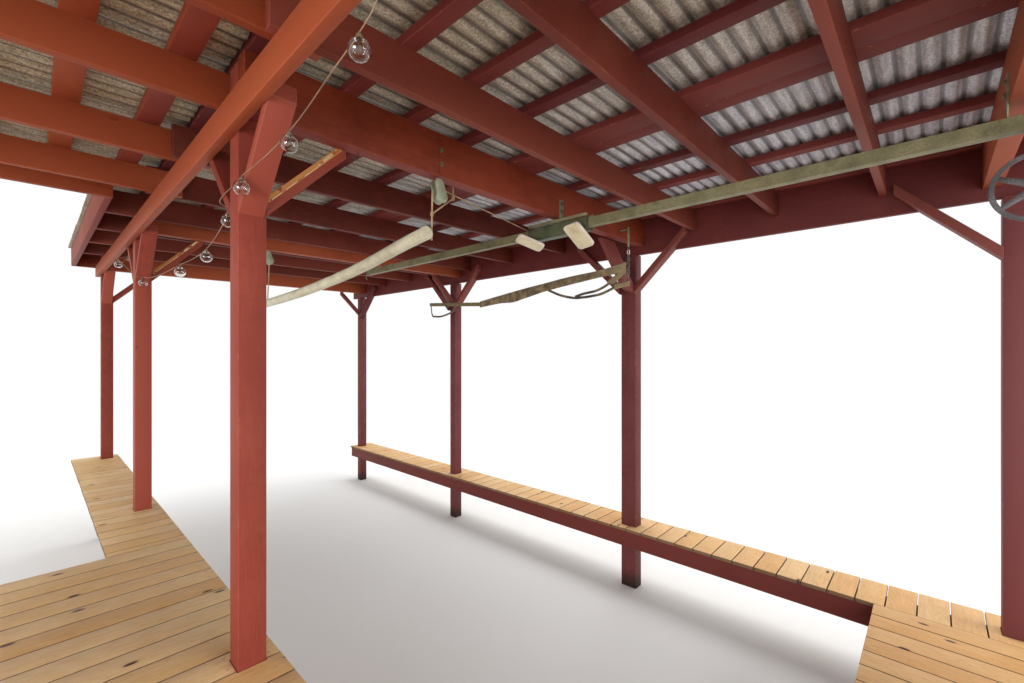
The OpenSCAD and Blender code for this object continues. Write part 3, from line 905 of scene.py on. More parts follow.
@dataclass(frozen=True)
class Finishes:
    """All materials of the boathouse, made once."""

    post: Finish = once(StainedTimber(
        "red_stained_post", "#85372a", "#6a261d", "#944536", "#7c322f", wet_foot=True
    ))
    post_rubbed: Finish = once(StainedTimber(
        "red_stained_post_edge", "#8a3f33", "#6f2c22", "#9b5040", "#813a36",
        rub="#985a45", rub_cover=0.3, wet_foot=True,
    ))
    right_post: Finish = once(StainedTimber(
        "dark_stained_post", "#5f2b2a", "#451d1e", "#70393a", "#56272b", wet_foot=True
    ))
    right_post_rubbed: Finish = once(StainedTimber(
        "dark_stained_post_edge", "#68342f", "#4c2222", "#7b453d", "#5e2e2f",
        rub_cover=0.25, wet_foot=True,
    ))
    right_brace: Finish = once(StainedTimber(
        "dark_stained_brace", "#632a24", "#491b19", "#753932", "#5d2826"
    ))
    right_brace_rubbed: Finish = once(StainedTimber(
        "dark_stained_brace_edge", "#6f342d", "#53231e", "#81463c", "#68342d", rub_cover=0.25
    ))
    beam: Finish = once(StainedTimber("red_stained_beam", "#84361e", "#682611", "#99492a", "#7e3937"))
    beam_rubbed: Finish = once(StainedTimber(
        "red_stained_beam_edge", "#8b3e24", "#712c16", "#9f5032", "#864138", rub="#995938", rub_cover=0.3
    ))
    rafter: Finish = once(StainedTimber("red_stained_rafter", "#65271a", "#49180f", "#773527", "#602723"))
    rafter_rubbed: Finish = once(StainedTimber(
        "red_stained_rafter_edge", "#6d2f20", "#511f13", "#803f2f", "#6a2f2a",
        rub="#824b37", rub_cover=0.25,
    ))
    purlin: Finish = once(StainedTimber("deep_red_purlin", "#5c201e", "#431514", "#6d2c27", "#571e1e"))
    purlin_rubbed: Finish = once(StainedTimber(
        "deep_red_purlin_edge", "#652924", "#4c1c19", "#79382f", "#5e2726", rub_cover=0.2
    ))
    brace_bare: Finish = once(StainedTimber(
        "flaked_brace_face", "#d2b488", "#8a4c2a", "#e6d4b0", "#c49a70", rub="#9a5a30", rub_cover=0.6
    ))
    brace_golden: Finish = once(StainedTimber(
        "golden_brace_face", "#a5622e", "#7c4018", "#c08448", "#9c5c30", rub="#8a3c22", rub_cover=0.3
    ))
    batten: Finish = once(StainedTimber("weathered_batten", "#77684a", "#52452f", "#988868", "#6e5f44"))
    fascia: Finish = once(StainedTimber("dark_red_fascia", "#5d201e", "#461715", "#6b2c25", "#531d1d"))
    fascia_rubbed: Finish = once(StainedTimber(
        "dark_red_fascia_edge", "#632722", "#4e1b17", "#77352c", "#5d2424", rub_cover=0.2
    ))
    deck: Finish = once(OiledDeckBoard("honey_deck_board", "#e1bf8b", "#f0d7a8", "#cda36b"))
    walk: Finish = once(OiledDeckBoard("pale_deck_board", "#d6ae7a", "#e4c294", "#c49660"))
    tin: Finish = once(GalvanisedSheet())
    olive: Finish = once(AgedCoat(
        "olive_painted_rail", "#767152", "#5c583e", "#8d8868", "#4c4834", 0.3, 8, roughness=0.6
    ))
    strap: Finish = once(AgedCoat(
        "grey_green_strap", "#7f7e64", "#5c5c46", "#a09f84", "#4a4836", 0.3, 6, roughness=0.5
    ))
    housing: Finish = once(AgedCoat(
        "dark_green_housing", "#4c5238", "#31362a", "#6a7054", "#23241a", 0.45, 7, roughness=0.5
    ))
    lamp: Finish = once(AgedCoat(
        "cream_lamp_cover", "#cfc4a2", "#b3a684", "#dfd7ba", "#8f8260", 0.2, 5, roughness=0.45
    ))
    lamp_rim: Finish = once(AgedCoat(
        "pale_lamp_rim", "#ddd0c4", "#bfae9e", "#eee6dc", "#94826c", 0.15, 4, roughness=0.45
    ))
    wheel: Finish = once(AgedCoat(
        "weathered_cast_wheel", "#474345", "#2c2a2c", "#6a6466", "#262224", 0.3, 6,
        metallic=0.3, roughness=0.5,
    ))
    block: Finish = once(AgedCoat(
        "zinc_rope_block", "#9aa088", "#787c66", "#bcc0aa", "#54523e", 0.35, 5,
        metallic=0.2, roughness=0.5,
    ))
    pole: Finish = once(AgedCoat(
        "weathered_white_pole", "#cac5ac", "#b5af93", "#d8d5c1", "#8d876d", 0.2, 12, roughness=0.6
    ))
    rope: Finish = once(AgedCoat(
        "hemp_rope", "#a68c6e", "#7e664c", "#bea688", "#5e4c36", 0.2, 3, roughness=0.9
    ))
    cord: Finish = once(AgedCoat("faded_light_cord", "#8a6f58", "#6a5242", "#a48a72", "#4c3c30", 0.2, 4))
    web: Finish = once(WovenWeb("tan_sling_webbing", "#76644a", "#463a2a", "#9a8862"))
    loop: Finish = once(WovenWeb("dark_sling_loop", "#4e4438", "#28241e", "#7a6a54"))
    chain: Finish = once(AgedCoat(
        "dull_steel_chain", "#5a5a56", "#3a3836", "#8a8a84", "#5a3a28", 0.3, 3,
        metallic=0.8, roughness=0.45,
    ))
    screw: Finish = once(AgedCoat(
        "weathered_screw", "#6a5e50", "#3c342c", "#8e8272", "#4a3020", 0.3, 3,
        metallic=0.7, roughness=0.5,
    ))
    bolt: Finish = once(AgedCoat(
        "rusty_olive_bolt", "#7a6a4a", "#54462f", "#9c8a68", "#4a3020", 0.25, 3,
        metallic=0.4, roughness=0.6,
    ))
    glass: Finish = once(ClearGlass())
    socket: Finish = once(AgedCoat(
        "dark_lamp_socket", "#6a5a46", "#453a2e", "#8e7c64", "#2e261e", 0.3, 4
    ))


# Camera, floor and light


@dataclass
class Studio:
    """Camera of the photograph, pale floor and soft light."""

    eye: Point = (-2.1345, -3.235, 2.108)
    heading_deg: float = 46.87
    lens_mm: float = 15.834
    shift_y: float = 0.0079
    floor_size: float = 120.0
    floor_hex: str = "#e6e6e4"
    world_strength: float = 1.0
    fade_from: float = 5.5
    fade_to: float = 12.0

    def camera(self) -> None:
        """Create the camera at the photograph's angle."""
        data = bpy.data.cameras.new("photo_camera")
        data.lens = self.lens_mm
        data.sensor_width = 36.0
        data.shift_y = self.shift_y
        data.clip_start = 0.02
        data.clip_end = 500
        camera = new_piece("photo_camera", data)
        camera.location = self.eye
        camera.rotation_euler = (math.radians(90), 0, -math.radians(self.heading_deg))
        bpy.context.scene.camera = camera

    def floor(self) -> None:
        """Lay a pale floor that looks white to the camera away from shadows."""
        deselect()
        bpy.ops.mesh.primitive_plane_add(size=self.floor_size, location=(0, 0, -0.002))
        floor = settle(bpy.context.object, "studio_floor")
        material, tree, shader = new_material("studio_floor")
        shader.inputs["Base Color"].default_value = linear(self.floor_hex)
        shader.inputs["Roughness"].default_value = 0.9
        # Away from the object's shadow the floor shows as white as the background
        spot = add_node(tree, "TexCoord")
        far = add_node(tree, "VectorMath", {0: (spot, "Object")}, operation="LENGTH")
        away = mask(tree, (far, "Value"), self.fade_from, self.fade_to)
        white = add_node(tree, "Math", {0: white_rays(tree), 1: away}, operation="MULTIPLY")
        glow = add_node(tree, "Emission", {"Color": (1, 1, 1, 1), "Strength": 1.0})
        blend = add_node(tree, "MixShader", {0: white, 1: shader, 2: glow})
        tree.links.new(blend.outputs[0], tree.nodes["Material Output"].inputs["Surface"])
        floor.data.materials.append(material)

    def world(self) -> None:
        """Give even white light from all round, and white where the camera looks past the object."""
        world = bpy.data.worlds.new("studio")
        bpy.context.scene.world = world
        world.use_nodes = True
        tree = world.node_tree
        ground = tree.nodes["Background"]
        ground.inputs["Color"].default_value = (1, 1, 1, 1)
        ground.inputs["Strength"].default_value = self.world_strength
        seen = add_node(tree, "Background", {"Color": (1, 1, 1, 1), "Strength": 1.0})
        blend = add_node(tree, "MixShader", {0: white_rays(tree), 1: ground, 2: seen})
        tree.links.new(blend.outputs[0], tree.nodes["World Output"].inputs["Surface"])

    def lamp(self, name: str, place: Point, target: Point, size: float, watts: float) -> None:
        """Add a soft area lamp aimed at a point.

        Args:
            name: Name of the lamp.
            place: Where it stands.
            target: Point that it faces.
            size: Side of its square.
            watts: Its power.
        """
        data = bpy.data.lights.new(name, "AREA")
        data.energy = watts
        data.size = size
        lamp = new_piece(name, data)
        lamp.location = place
        lamp.rotation_euler = (Vector(target) - Vector(place)).to_track_quat("-Z", "Y").to_euler()

    def build(self) -> None:
        """Set up the whole studio."""
        self.floor()
        self.world()
        self.lamp("low_side_softbox", (-10, -5, 1.6), (0, -0.5, 2.6), 5, 900)
        self.lamp("front_softbox", (2, -13, 5), (0, 0, 1.6), 7, 700)
        self.lamp("top_softbox", (3, 2, 12), (0, 0, 1), 8, 900)
        scene = bpy.context.scene
        scene.view_settings.view_transform = "Standard"


# String of lights


@dataclass
class StringLights:
    """Cord with clear globes that hangs along the left row of posts."""

    cord_radius: float = 0.00175
    drop: float = 0.0418
    globe_radius: float = 0.028
    route: tuple[Point, ...] = (
        (-1.590, -2.402, 3.044), (-1.594, -2.310, 2.912), (-1.602, -2.239, 2.861), (-1.592, -2.060, 2.838),
        (-1.581, -1.890, 2.816), (-1.575, -1.747, 2.801), (-1.586, -1.620, 2.773), (-1.607, -1.500, 2.744),
        (-1.620, -1.429, 2.728), (-1.612, -1.330, 2.729), (-1.608, -1.270, 2.732), (-1.608, -1.150, 2.725),
        (-1.598, -1.070, 2.718), (-1.545, -0.979, 2.714), (-1.520, -0.730, 2.671), (-1.514, -0.484, 2.630),
        (-1.530, -0.290, 2.604), (-1.554, -0.099, 2.592), (-1.562, 0.320, 2.591), (-1.570, 0.720, 2.606),
        (-1.567, 1.050, 2.645), (-1.590, 1.084, 2.650), (-1.610, 1.116, 2.658), (-1.612, 1.195, 2.682),
        (-1.614, 1.320, 2.722), (-1.630, 1.530, 2.800), (-1.640, 1.704, 2.856), (-1.620, 1.820, 2.888),
        (-1.585, 1.920, 2.914), (-1.530, 2.120, 2.966), (-1.491, 2.368, 3.024), (-1.480, 2.700, 3.030),
        (-1.475, 3.250, 3.026), (-1.475, 3.434, 3.030),
    )
    globes: tuple[Point, ...] = (
        (-1.602, -2.239, 2.861), (-1.575, -1.747, 2.801), (-1.620, -1.429, 2.728), (-1.545, -0.979, 2.714),
        (-1.514, -0.484, 2.630), (-1.554, -0.099, 2.592), (-1.567, 1.050, 2.645), (-1.640, 1.704, 2.856),
        (-1.491, 2.368, 3.024),
    )

    def globe_pattern(self) -> Piece:
        """Model one clear globe as a thin blown shell with a neck."""
        r = self.globe_radius
        outer = [(r * math.cos(math.radians(a)), r * math.sin(math.radians(a))) for a in range(-90, 61, 10)]
        outer = [(max(x, 0.0), z) for x, z in outer] + [(0.0078, 0.0265), (0.0074, 0.030)]
        wall = 0.0009
        inner = [(max(x - wall * (x / r), 0.0), z - wall * z / r) for x, z in reversed(outer[:-2])]
        profile = outer + [(0.0066, 0.030)] + inner
        globe = spin_profile("globe_pattern", profile, 28)
        shade(globe, 60)
        return globe

    def socket_pattern(self) -> Piece:
        """Model one lamp socket with its rolled rim and cord saddle."""
        profile = [
            (0.0, 0.0425), (0.0026, 0.0425), (0.0036, 0.041), (0.0040, 0.0385), (0.0070, 0.0368),
            (0.0078, 0.035), (0.0078, 0.0305), (0.0082, 0.0295), (0.0078, 0.0285), (0.0074, 0.0275),
            (0.0, 0.0275),
        ]
        socket = spin_profile("socket_pattern", profile, 20)
        shade(socket, 40)
        return socket

    def filament_pattern(self) -> Piece:
        """Model the glass stem, support wires and looped filament."""
        stem = spin_profile(
            "stem", [(0.0, 0.008), (0.0020, 0.009), (0.0024, 0.016), (0.0042, 0.0265), (0.0, 0.0272)], 12
        )
        # The filament goes round 34 of 40 steps of a ring 9 mm in radius, in five waves
        ring, low, wave, stem_top = 0.009, 0.004, 0.0035, 0.012
        loop = [
            Vector((ring * math.cos(t), ring * math.sin(t), low + wave * math.sin(5 * t)))
            for t in [2 * math.pi * k / 40 for k in range(34)]
        ]
        wires = [line_mesh("filament", loop, 0.00045, 1)]
        for turn in (0, 2, 4):
            angle = turn * math.pi / 3
            tip = Vector((ring * math.cos(angle), ring * math.sin(angle), low))
            wires.append(line_mesh("support", [Vector((0, 0, stem_top)), tip], 0.0004, 1))
        return join([stem, *wires], "filament_pattern")

    def build(self, finishes: Finishes) -> None:
        """Build the cord, its globes and their sockets."""
        line = smooth_route([Vector(p) for p in self.route], 6)
        cord = add_line("light_cord_line", line, self.cord_radius)
        place_piece(cord, "light_cord_line", [finishes.cord], ("light_cord",))
        patterns = (
            (self.globe_pattern(), "lamp_globes", finishes.glass, "globe_glass"),
            (self.socket_pattern(), "lamp_sockets", finishes.socket, "light_cord"),
            (self.filament_pattern(), "lamp_filaments", finishes.chain, "chain_steel"),
        )
        for pattern, name, material, slot in patterns:
            middles = [Vector(p) - Vector((0, 0, self.drop)) for p in self.globes]
            copies = [copy_shape(pattern, Matrix.Translation(middle)) for middle in middles]
            nodes = ("light_bulbs",) if name == "lamp_globes" else ()
            place_piece(join(copies, name), name, [material], nodes)
            remove(pattern)


# Timber


@dataclass
class TimberFrame:
    """Posts, beams, braces, rafters, purlins and joists, rebuilt from their own solids with eased edges."""

    left_post_nodes: tuple[str, ...] = (
        "left_post_1", "left_post_2", "left_post_3", "left_post_4",
        "outer_post_1", "outer_post_2", "outer_post_3", "near_piles", "left_braces",
    )
    right_post_nodes: tuple[str, ...] = ("right_post_1", "right_post_2", "right_post_3", "right_post_4")
    beam_nodes: tuple[str, ...] = (
        "left_beam", "outer_beam", "crossbeam_1", "crossbeam_2", "crossbeam_3", "crossbeam_4",
        "deck_crossbeams", "deck_rafters", "deck_purlins", "end_boards", "step_eave_board",
    )
    fascia_nodes: tuple[str, ...] = ("catwalk_fascia", "catwalk_stringers", "cross_deck_joists")
    joist_nodes: tuple[str, ...] = ("deck_joists", "deck_bearers")
    # Seam of the spliced plank in the second crossbeam's near face
    splice_lo: Point = (-0.7165, -1.3975, 2.980)
    splice_hi: Point = (-0.7140, -1.3925, 3.230)
    ease: float = 0.0025
    rng: random.Random = field(default_factory=lambda: random.Random(41))

    def member(self, node: str) -> Piece:
        """Round a packed timber node, cut its splice if it has one, and mark its grain.

        Args:
            node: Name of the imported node.

        Returns:
            The eased copy with grain marks.
        """
        obj = eased_copy(node, node + "_timber", self.ease, 1)
        if node == "crossbeam_2":
            cutter = add_block(self.splice_lo, self.splice_hi, "cutter")
            apply_modifier(obj, "BOOLEAN", object=cutter, operation="DIFFERENCE", solver="EXACT")
            remove(cutter)
        mark_grain(obj, self.rng)
        shade(obj, 30)
        return obj

    def build(self, finishes: Finishes) -> None:
        """Build every timber member."""
        groups = (
            (self.left_post_nodes, finishes.post, finishes.post_rubbed, "painted_post"),
            (self.right_post_nodes, finishes.right_post, finishes.right_post_rubbed, "painted_post"),
            (self.beam_nodes, finishes.beam, finishes.beam_rubbed, "painted_beam"),
            (("slip_rafters",), finishes.rafter, finishes.rafter_rubbed, "painted_beam"),
            (("slip_purlins", "eave_beam"), finishes.purlin, finishes.purlin_rubbed, "dark_red_fascia"),
            (("right_braces",), finishes.right_brace, finishes.right_brace_rubbed, "painted_post"),
            (self.fascia_nodes, finishes.fascia, finishes.fascia_rubbed, "dark_red_fascia"),
            (self.joist_nodes, finishes.beam, finishes.beam_rubbed, "painted_post"),
        )
        for nodes, body, edge, slot in groups:
            for node in nodes:
                place_piece(self.member(node), node + "_timber", [body, edge], (node,))
        left, right = self.sides(self.member("cross_braces"))
        for obj, name, pair in (
            (left, "left_cross_braces", [finishes.post, finishes.post_rubbed]),
            (right, "right_cross_braces", [finishes.right_brace, finishes.right_brace_rubbed]),
        ):
            place_piece(obj, name, pair, ("cross_braces",))

    def sides(self, obj: Piece) -> tuple[Piece, Piece]:
        """Part a piece into its members left and right of the slip's middle.

        Args:
            obj: Piece with members on both sides.

        Returns:
            The left members and the right ones, each joined.
        """
        activate(obj)
        bpy.ops.object.mode_set(mode="EDIT")
        bpy.ops.mesh.select_all(action="SELECT")
        bpy.ops.mesh.separate(type="LOOSE")
        bpy.ops.object.mode_set(mode="OBJECT")
        members = list(bpy.context.selected_objects)
        left = [m for m in members if m.data.vertices[0].co.x < 0]
        right = [m for m in members if m.data.vertices[0].co.x >= 0]
        return join(left, "left_side"), join(right, "right_side")


@dataclass
class Decks:
    """Separate deck boards with gaps, rounded edges and screws."""

    pitch: float = 0.146
    board_width: float = 0.1405
    board_t: float = 0.026
    deck_top: float = 0.890
    walk_top: float = 0.543
    board_ease: float = 0.0035
    # Most that a board's end and top may fall short
    end_play: float = 0.002
    top_play: float = 0.0008
    # Narrowest strip that is still laid as a board
    last_strip: float = 0.02
    post: float = 0.1
    clearance: float = 0.003
    left_x: float = -1.5515
    right_x: float = 1.5515
    outer_x: float = -3.7745
    pair_y: tuple[float, ...] = (-3.560, -1.270, 1.195, 3.565)
    outer_y: tuple[float, ...] = (-3.560, -1.270, 0.245)
    # How far each catwalk post reaches past its middle
    right_back: tuple[float, ...] = (0.05, 0.09, 0.05, 0.05)
    screw_insets: tuple[float, float] = (0.03, 0.11)
    screw_sink: float = 0.0012
    rng: random.Random = field(default_factory=lambda: random.Random(57))

    def left_posts(self) -> list[Point]:
        """Middle in X, near face and far face of each post of the left deck."""
        half = self.post / 2
        inner = [(self.left_x, y - half, y + half) for y in self.pair_y]
        return inner + [(self.outer_x, y - half, y + half) for y in self.outer_y]

    def right_posts(self) -> list[Point]:
        """Middle in X, near face and far face of each post of the catwalk. The second is deeper."""
        half = self.post / 2
        return [(self.right_x, y - half, y + back) for y, back in zip(self.pair_y, self.right_back)]

    def board(self, lo: Vector, hi: Vector) -> Piece:
        """Model one board between two corners, with rounded long edges.

        Args:
            lo: Lowest corner.
            hi: Highest corner.

        Returns:
            The board.
        """
        board = add_block(lo, hi, "board")
        ease_edges(board, self.board_ease, 2)
        return board

    def run(
        self, name: str, axis: GrainAxis, lo: Point, hi: Point, posts: list[Point]
    ) -> Piece:
        """Lay boards side by side over a rectangle and cut them round the posts.

        Args:
            name: Name of the run.
            axis: Axis that the boards run along.
            lo: Lowest corner of the rectangle.
            hi: Highest corner.
            posts: Middle in X, near face and far face of the posts that come through.

        Returns:
            The joined run.
        """
        step_axis = 1 if axis is GrainAxis.X else 0
        boards = []
        place = hi[step_axis]
        gap = self.pitch - self.board_width
        while place > lo[step_axis] + self.last_strip:
            low = max(place - self.board_width, lo[step_axis])
            a, b = list(lo), list(hi)
            a[step_axis], b[step_axis] = low, place
            ends = axis.value
            a[ends] += self.rng.uniform(0, self.end_play)
            b[ends] -= self.rng.uniform(0, self.end_play)
            b[2] -= self.rng.uniform(0, self.top_play)
            boards.append(self.board(Vector(a), Vector(b)))
            place = low - gap
        run = join(boards, name)
        half = self.post / 2 + self.clearance
        room, past = self.clearance, 0.02
        cutters = [
            add_block((x - half, near - room, lo[2] - past), (x + half, far + room, hi[2] + past), "cutter")
            for x, near, far in posts
            if lo[0] - half < x < hi[0] + half and near < hi[1] and far > lo[1]
        ]
        if cutters:
            cutter = join(cutters, "cutter")
            apply_modifier(run, "BOOLEAN", object=cutter, operation="DIFFERENCE", solver="EXACT")
            remove(cutter)
        mark_grain(run, self.rng, axis)
        shade(run, 40)
        return run

    def screw_pattern(self) -> Piece:
        """Model one countersunk screw head as a shallow dish."""
        dish = [(0.0, 0.0003), (0.0030, 0.0004), (0.0042, 0.0008), (0.0046, -0.0006)]
        screw = spin_profile("screw_pattern", dish, 8)
        shade(screw, 40)
        return screw

    def build(self, finishes: Finishes) -> None:
        """Build all decks and their screws."""
        left, right = self.left_posts(), self.right_posts()
        z0, z1 = self.deck_top - self.board_t, self.deck_top
        w0, w1 = self.walk_top - self.board_t, self.walk_top
        wide = self.run("wide_boards", GrainAxis.X, (-3.8815, -4.185, z0), (-1.4435, 0.295, z1), left)
        slim = self.run("narrow_boards", GrainAxis.X, (-1.8345, 0.301, z0), (-1.4435, 3.725, z1), left)
        deck = join([wide, slim], "deck_board_run")
        place_piece(deck, "deck_board_run", [finishes.deck], ("deck_boards",))
        walk = self.run("walk_boards", GrainAxis.X, (1.4195, -4.185, w0), (1.7655, 3.698, w1), right)
        place_piece(walk, "catwalk_board_run", [finishes.walk], ("catwalk_boards",))
        cross = self.run("cross_boards", GrainAxis.Y, (-1.4435, -4.185, w0), (1.4195, -2.962, w1), [])
        place_piece(cross, "cross_deck_board_run", [finishes.walk], ("cross_deck_boards",))
        self.screws(finishes)

    def screw_rows(self, first: float, last: float, joists: tuple[float, ...], play: float) -> list[Flat]:
        """Spots of two screws a board over each joist, from the first board down to the last.

        Args:
            first: Upper edge of the first board across the run.
            last: Place past which no board starts.
            joists: Middles of the joists along the boards.
            play: How far a screw may stray along its board.

        Returns:
            Place along the board and place across the run of each screw.
        """
        spots = []
        place = first
        while place > last:
            for joist in joists:
                for inset in self.screw_insets:
                    spots.append((joist + self.rng.uniform(-play, play), place - inset))
            place -= self.pitch
        return spots

    def screws(self, finishes: Finishes) -> None:
        """Set two screws in each board over each joist, clear of the posts."""
        pattern = self.screw_pattern()
        wide = self.screw_rows(0.295, -4.17, (-3.7055, -3.0155, -2.3255, -1.6205, -1.4825), 0.006)
        slim = self.screw_rows(3.725, 0.33, (-1.6205, -1.4825), 0.006)
        walk = self.screw_rows(3.698, -4.16, (1.4825, 1.6205), 0.005)
        cross = self.screw_rows(1.4195, -1.43, (-4.166, -3.629, -3.491, -2.981), 0.005)
        spots = [Vector((x, y, self.deck_top)) for x, y in wide + slim]
        spots += [Vector((x, y, self.walk_top)) for x, y in walk]
        spots += [Vector((x, y, self.walk_top)) for y, x in cross]
        posts = self.left_posts() + self.right_posts()
        side, end = self.post / 2 + 0.01, 0.01
        clear = [
            s for s in spots
            if all(abs(s.x - x) > side or not near - end < s.y < far + end for x, near, far in posts)
        ]
        sunk = Vector((0, 0, self.screw_sink))
        copies = [copy_shape(pattern, Matrix.Translation(s - sunk)) for s in clear]
        remove(pattern)
        place_piece(join(copies, "deck_screws"), "deck_screws", [finishes.screw])


@dataclass
class TinRoof:
    """Corrugated sheets side by side in the space of the roof slabs, with slightly ragged ends."""

    pitch: float = 0.072
    height: float = 0.0165
    sheet_t: float = 0.0009
    tilt: float = math.atan(0.007)
    left_x: float = -1.5515
    rafter_z: float = 3.048
    panel: float = 0.648
    near_edge: float = -4.2345
    # Left free under the valleys and over the crests
    room: float = 0.0003
    ragged: float = 0.004
    # First valley of the corrugation
    rib_start: float = -4.235
    rng: random.Random = field(default_factory=lambda: random.Random(73))

    def roof_matrix(self) -> Matrix:
        """Matrix from the roof's own plane to the frame."""
        origin = Matrix.Translation((self.left_x, 0, self.rafter_z))
        back = Matrix.Translation((-self.left_x, 0, 0))
        return origin @ Matrix.Rotation(-self.tilt, 4, "Y") @ back

    def sheet(self, x0: float, x1: float, y0: float, y1: float, z0: float) -> Piece:
        """Model one corrugated sheet with ribs along X.

        Args:
            x0: Left edge in the roof's plane.
            x1: Right edge.
            y0: Near edge.
            y1: Far edge.
            z0: Bottom of the ribs in the roof's plane.

        Returns:
            The sheet with its thickness.
        """
        steps = max(12, round((y1 - y0) / self.pitch * 10))
        runs = max(2, round((x1 - x0) / 0.6))
        deselect()
        bpy.ops.mesh.primitive_grid_add(
            x_subdivisions=runs,
            y_subdivisions=steps,
            size=1,
            location=((x0 + x1) / 2, (y0 + y1) / 2, z0),
        )
        sheet = bpy.context.object
        sheet.scale = (x1 - x0, y1 - y0, 1)
        settle(sheet, "sheet")
        crest = self.height - self.sheet_t - 2 * self.room
        for vert in sheet.data.vertices:
            wave = 0.5 - 0.5 * math.cos(2 * math.pi * (vert.co.y - self.rib_start) / self.pitch)
            vert.co.z = z0 + self.room + crest * wave
        apply_modifier(sheet, "SOLIDIFY", thickness=self.sheet_t, offset=1.0, use_even_offset=False)
        sheet.data.transform(self.roof_matrix())
        return sheet

    def cover(self, name: str, x0: float, x1: float, y0: float, y1: float, z0: float) -> Piece:
        """Cover a rectangle with sheets that meet edge to edge on a rib.

        Args:
            name: Name of the cover.
            x0: Left edge.
            x1: Right edge.
            y0: Near edge.
            y1: Far edge.
            z0: Bottom of the ribs.

        Returns:
            The joined sheets.
        """
        sheets = []
        place = y0
        while place < y1 - 0.01:
            end = min(place + self.panel, y1)
            ragged = self.rng.uniform(0.0, self.ragged)
            sheets.append(self.sheet(x0 + ragged, x1 - ragged, place, end, z0))
            place = end
        return join(sheets, name)

    def build(self, finishes: Finishes) -> None:
        """Build the sheets of both roofs."""
        slip_z, deck_z = 0.198, 0.178
        near = self.cover("near", -1.7145, 1.6255, self.near_edge, 0.523, slip_z)
        far = self.cover("far", -1.8525, 1.6255, 0.523, 3.865, slip_z)
        slip = join([near, far], "slip_tin_sheets")
        shade(slip, 60)
        place_piece(slip, "slip_tin_sheets", [finishes.tin], ("slip_roof_sheets",))
        deck = self.cover("deck_tin_sheets", -3.9515, -1.5985, self.near_edge, 0.493, deck_z)
        shade(deck, 60)
        place_piece(deck, "deck_tin_sheets", [finishes.tin], ("deck_roof_sheets",))


# Hoist gear


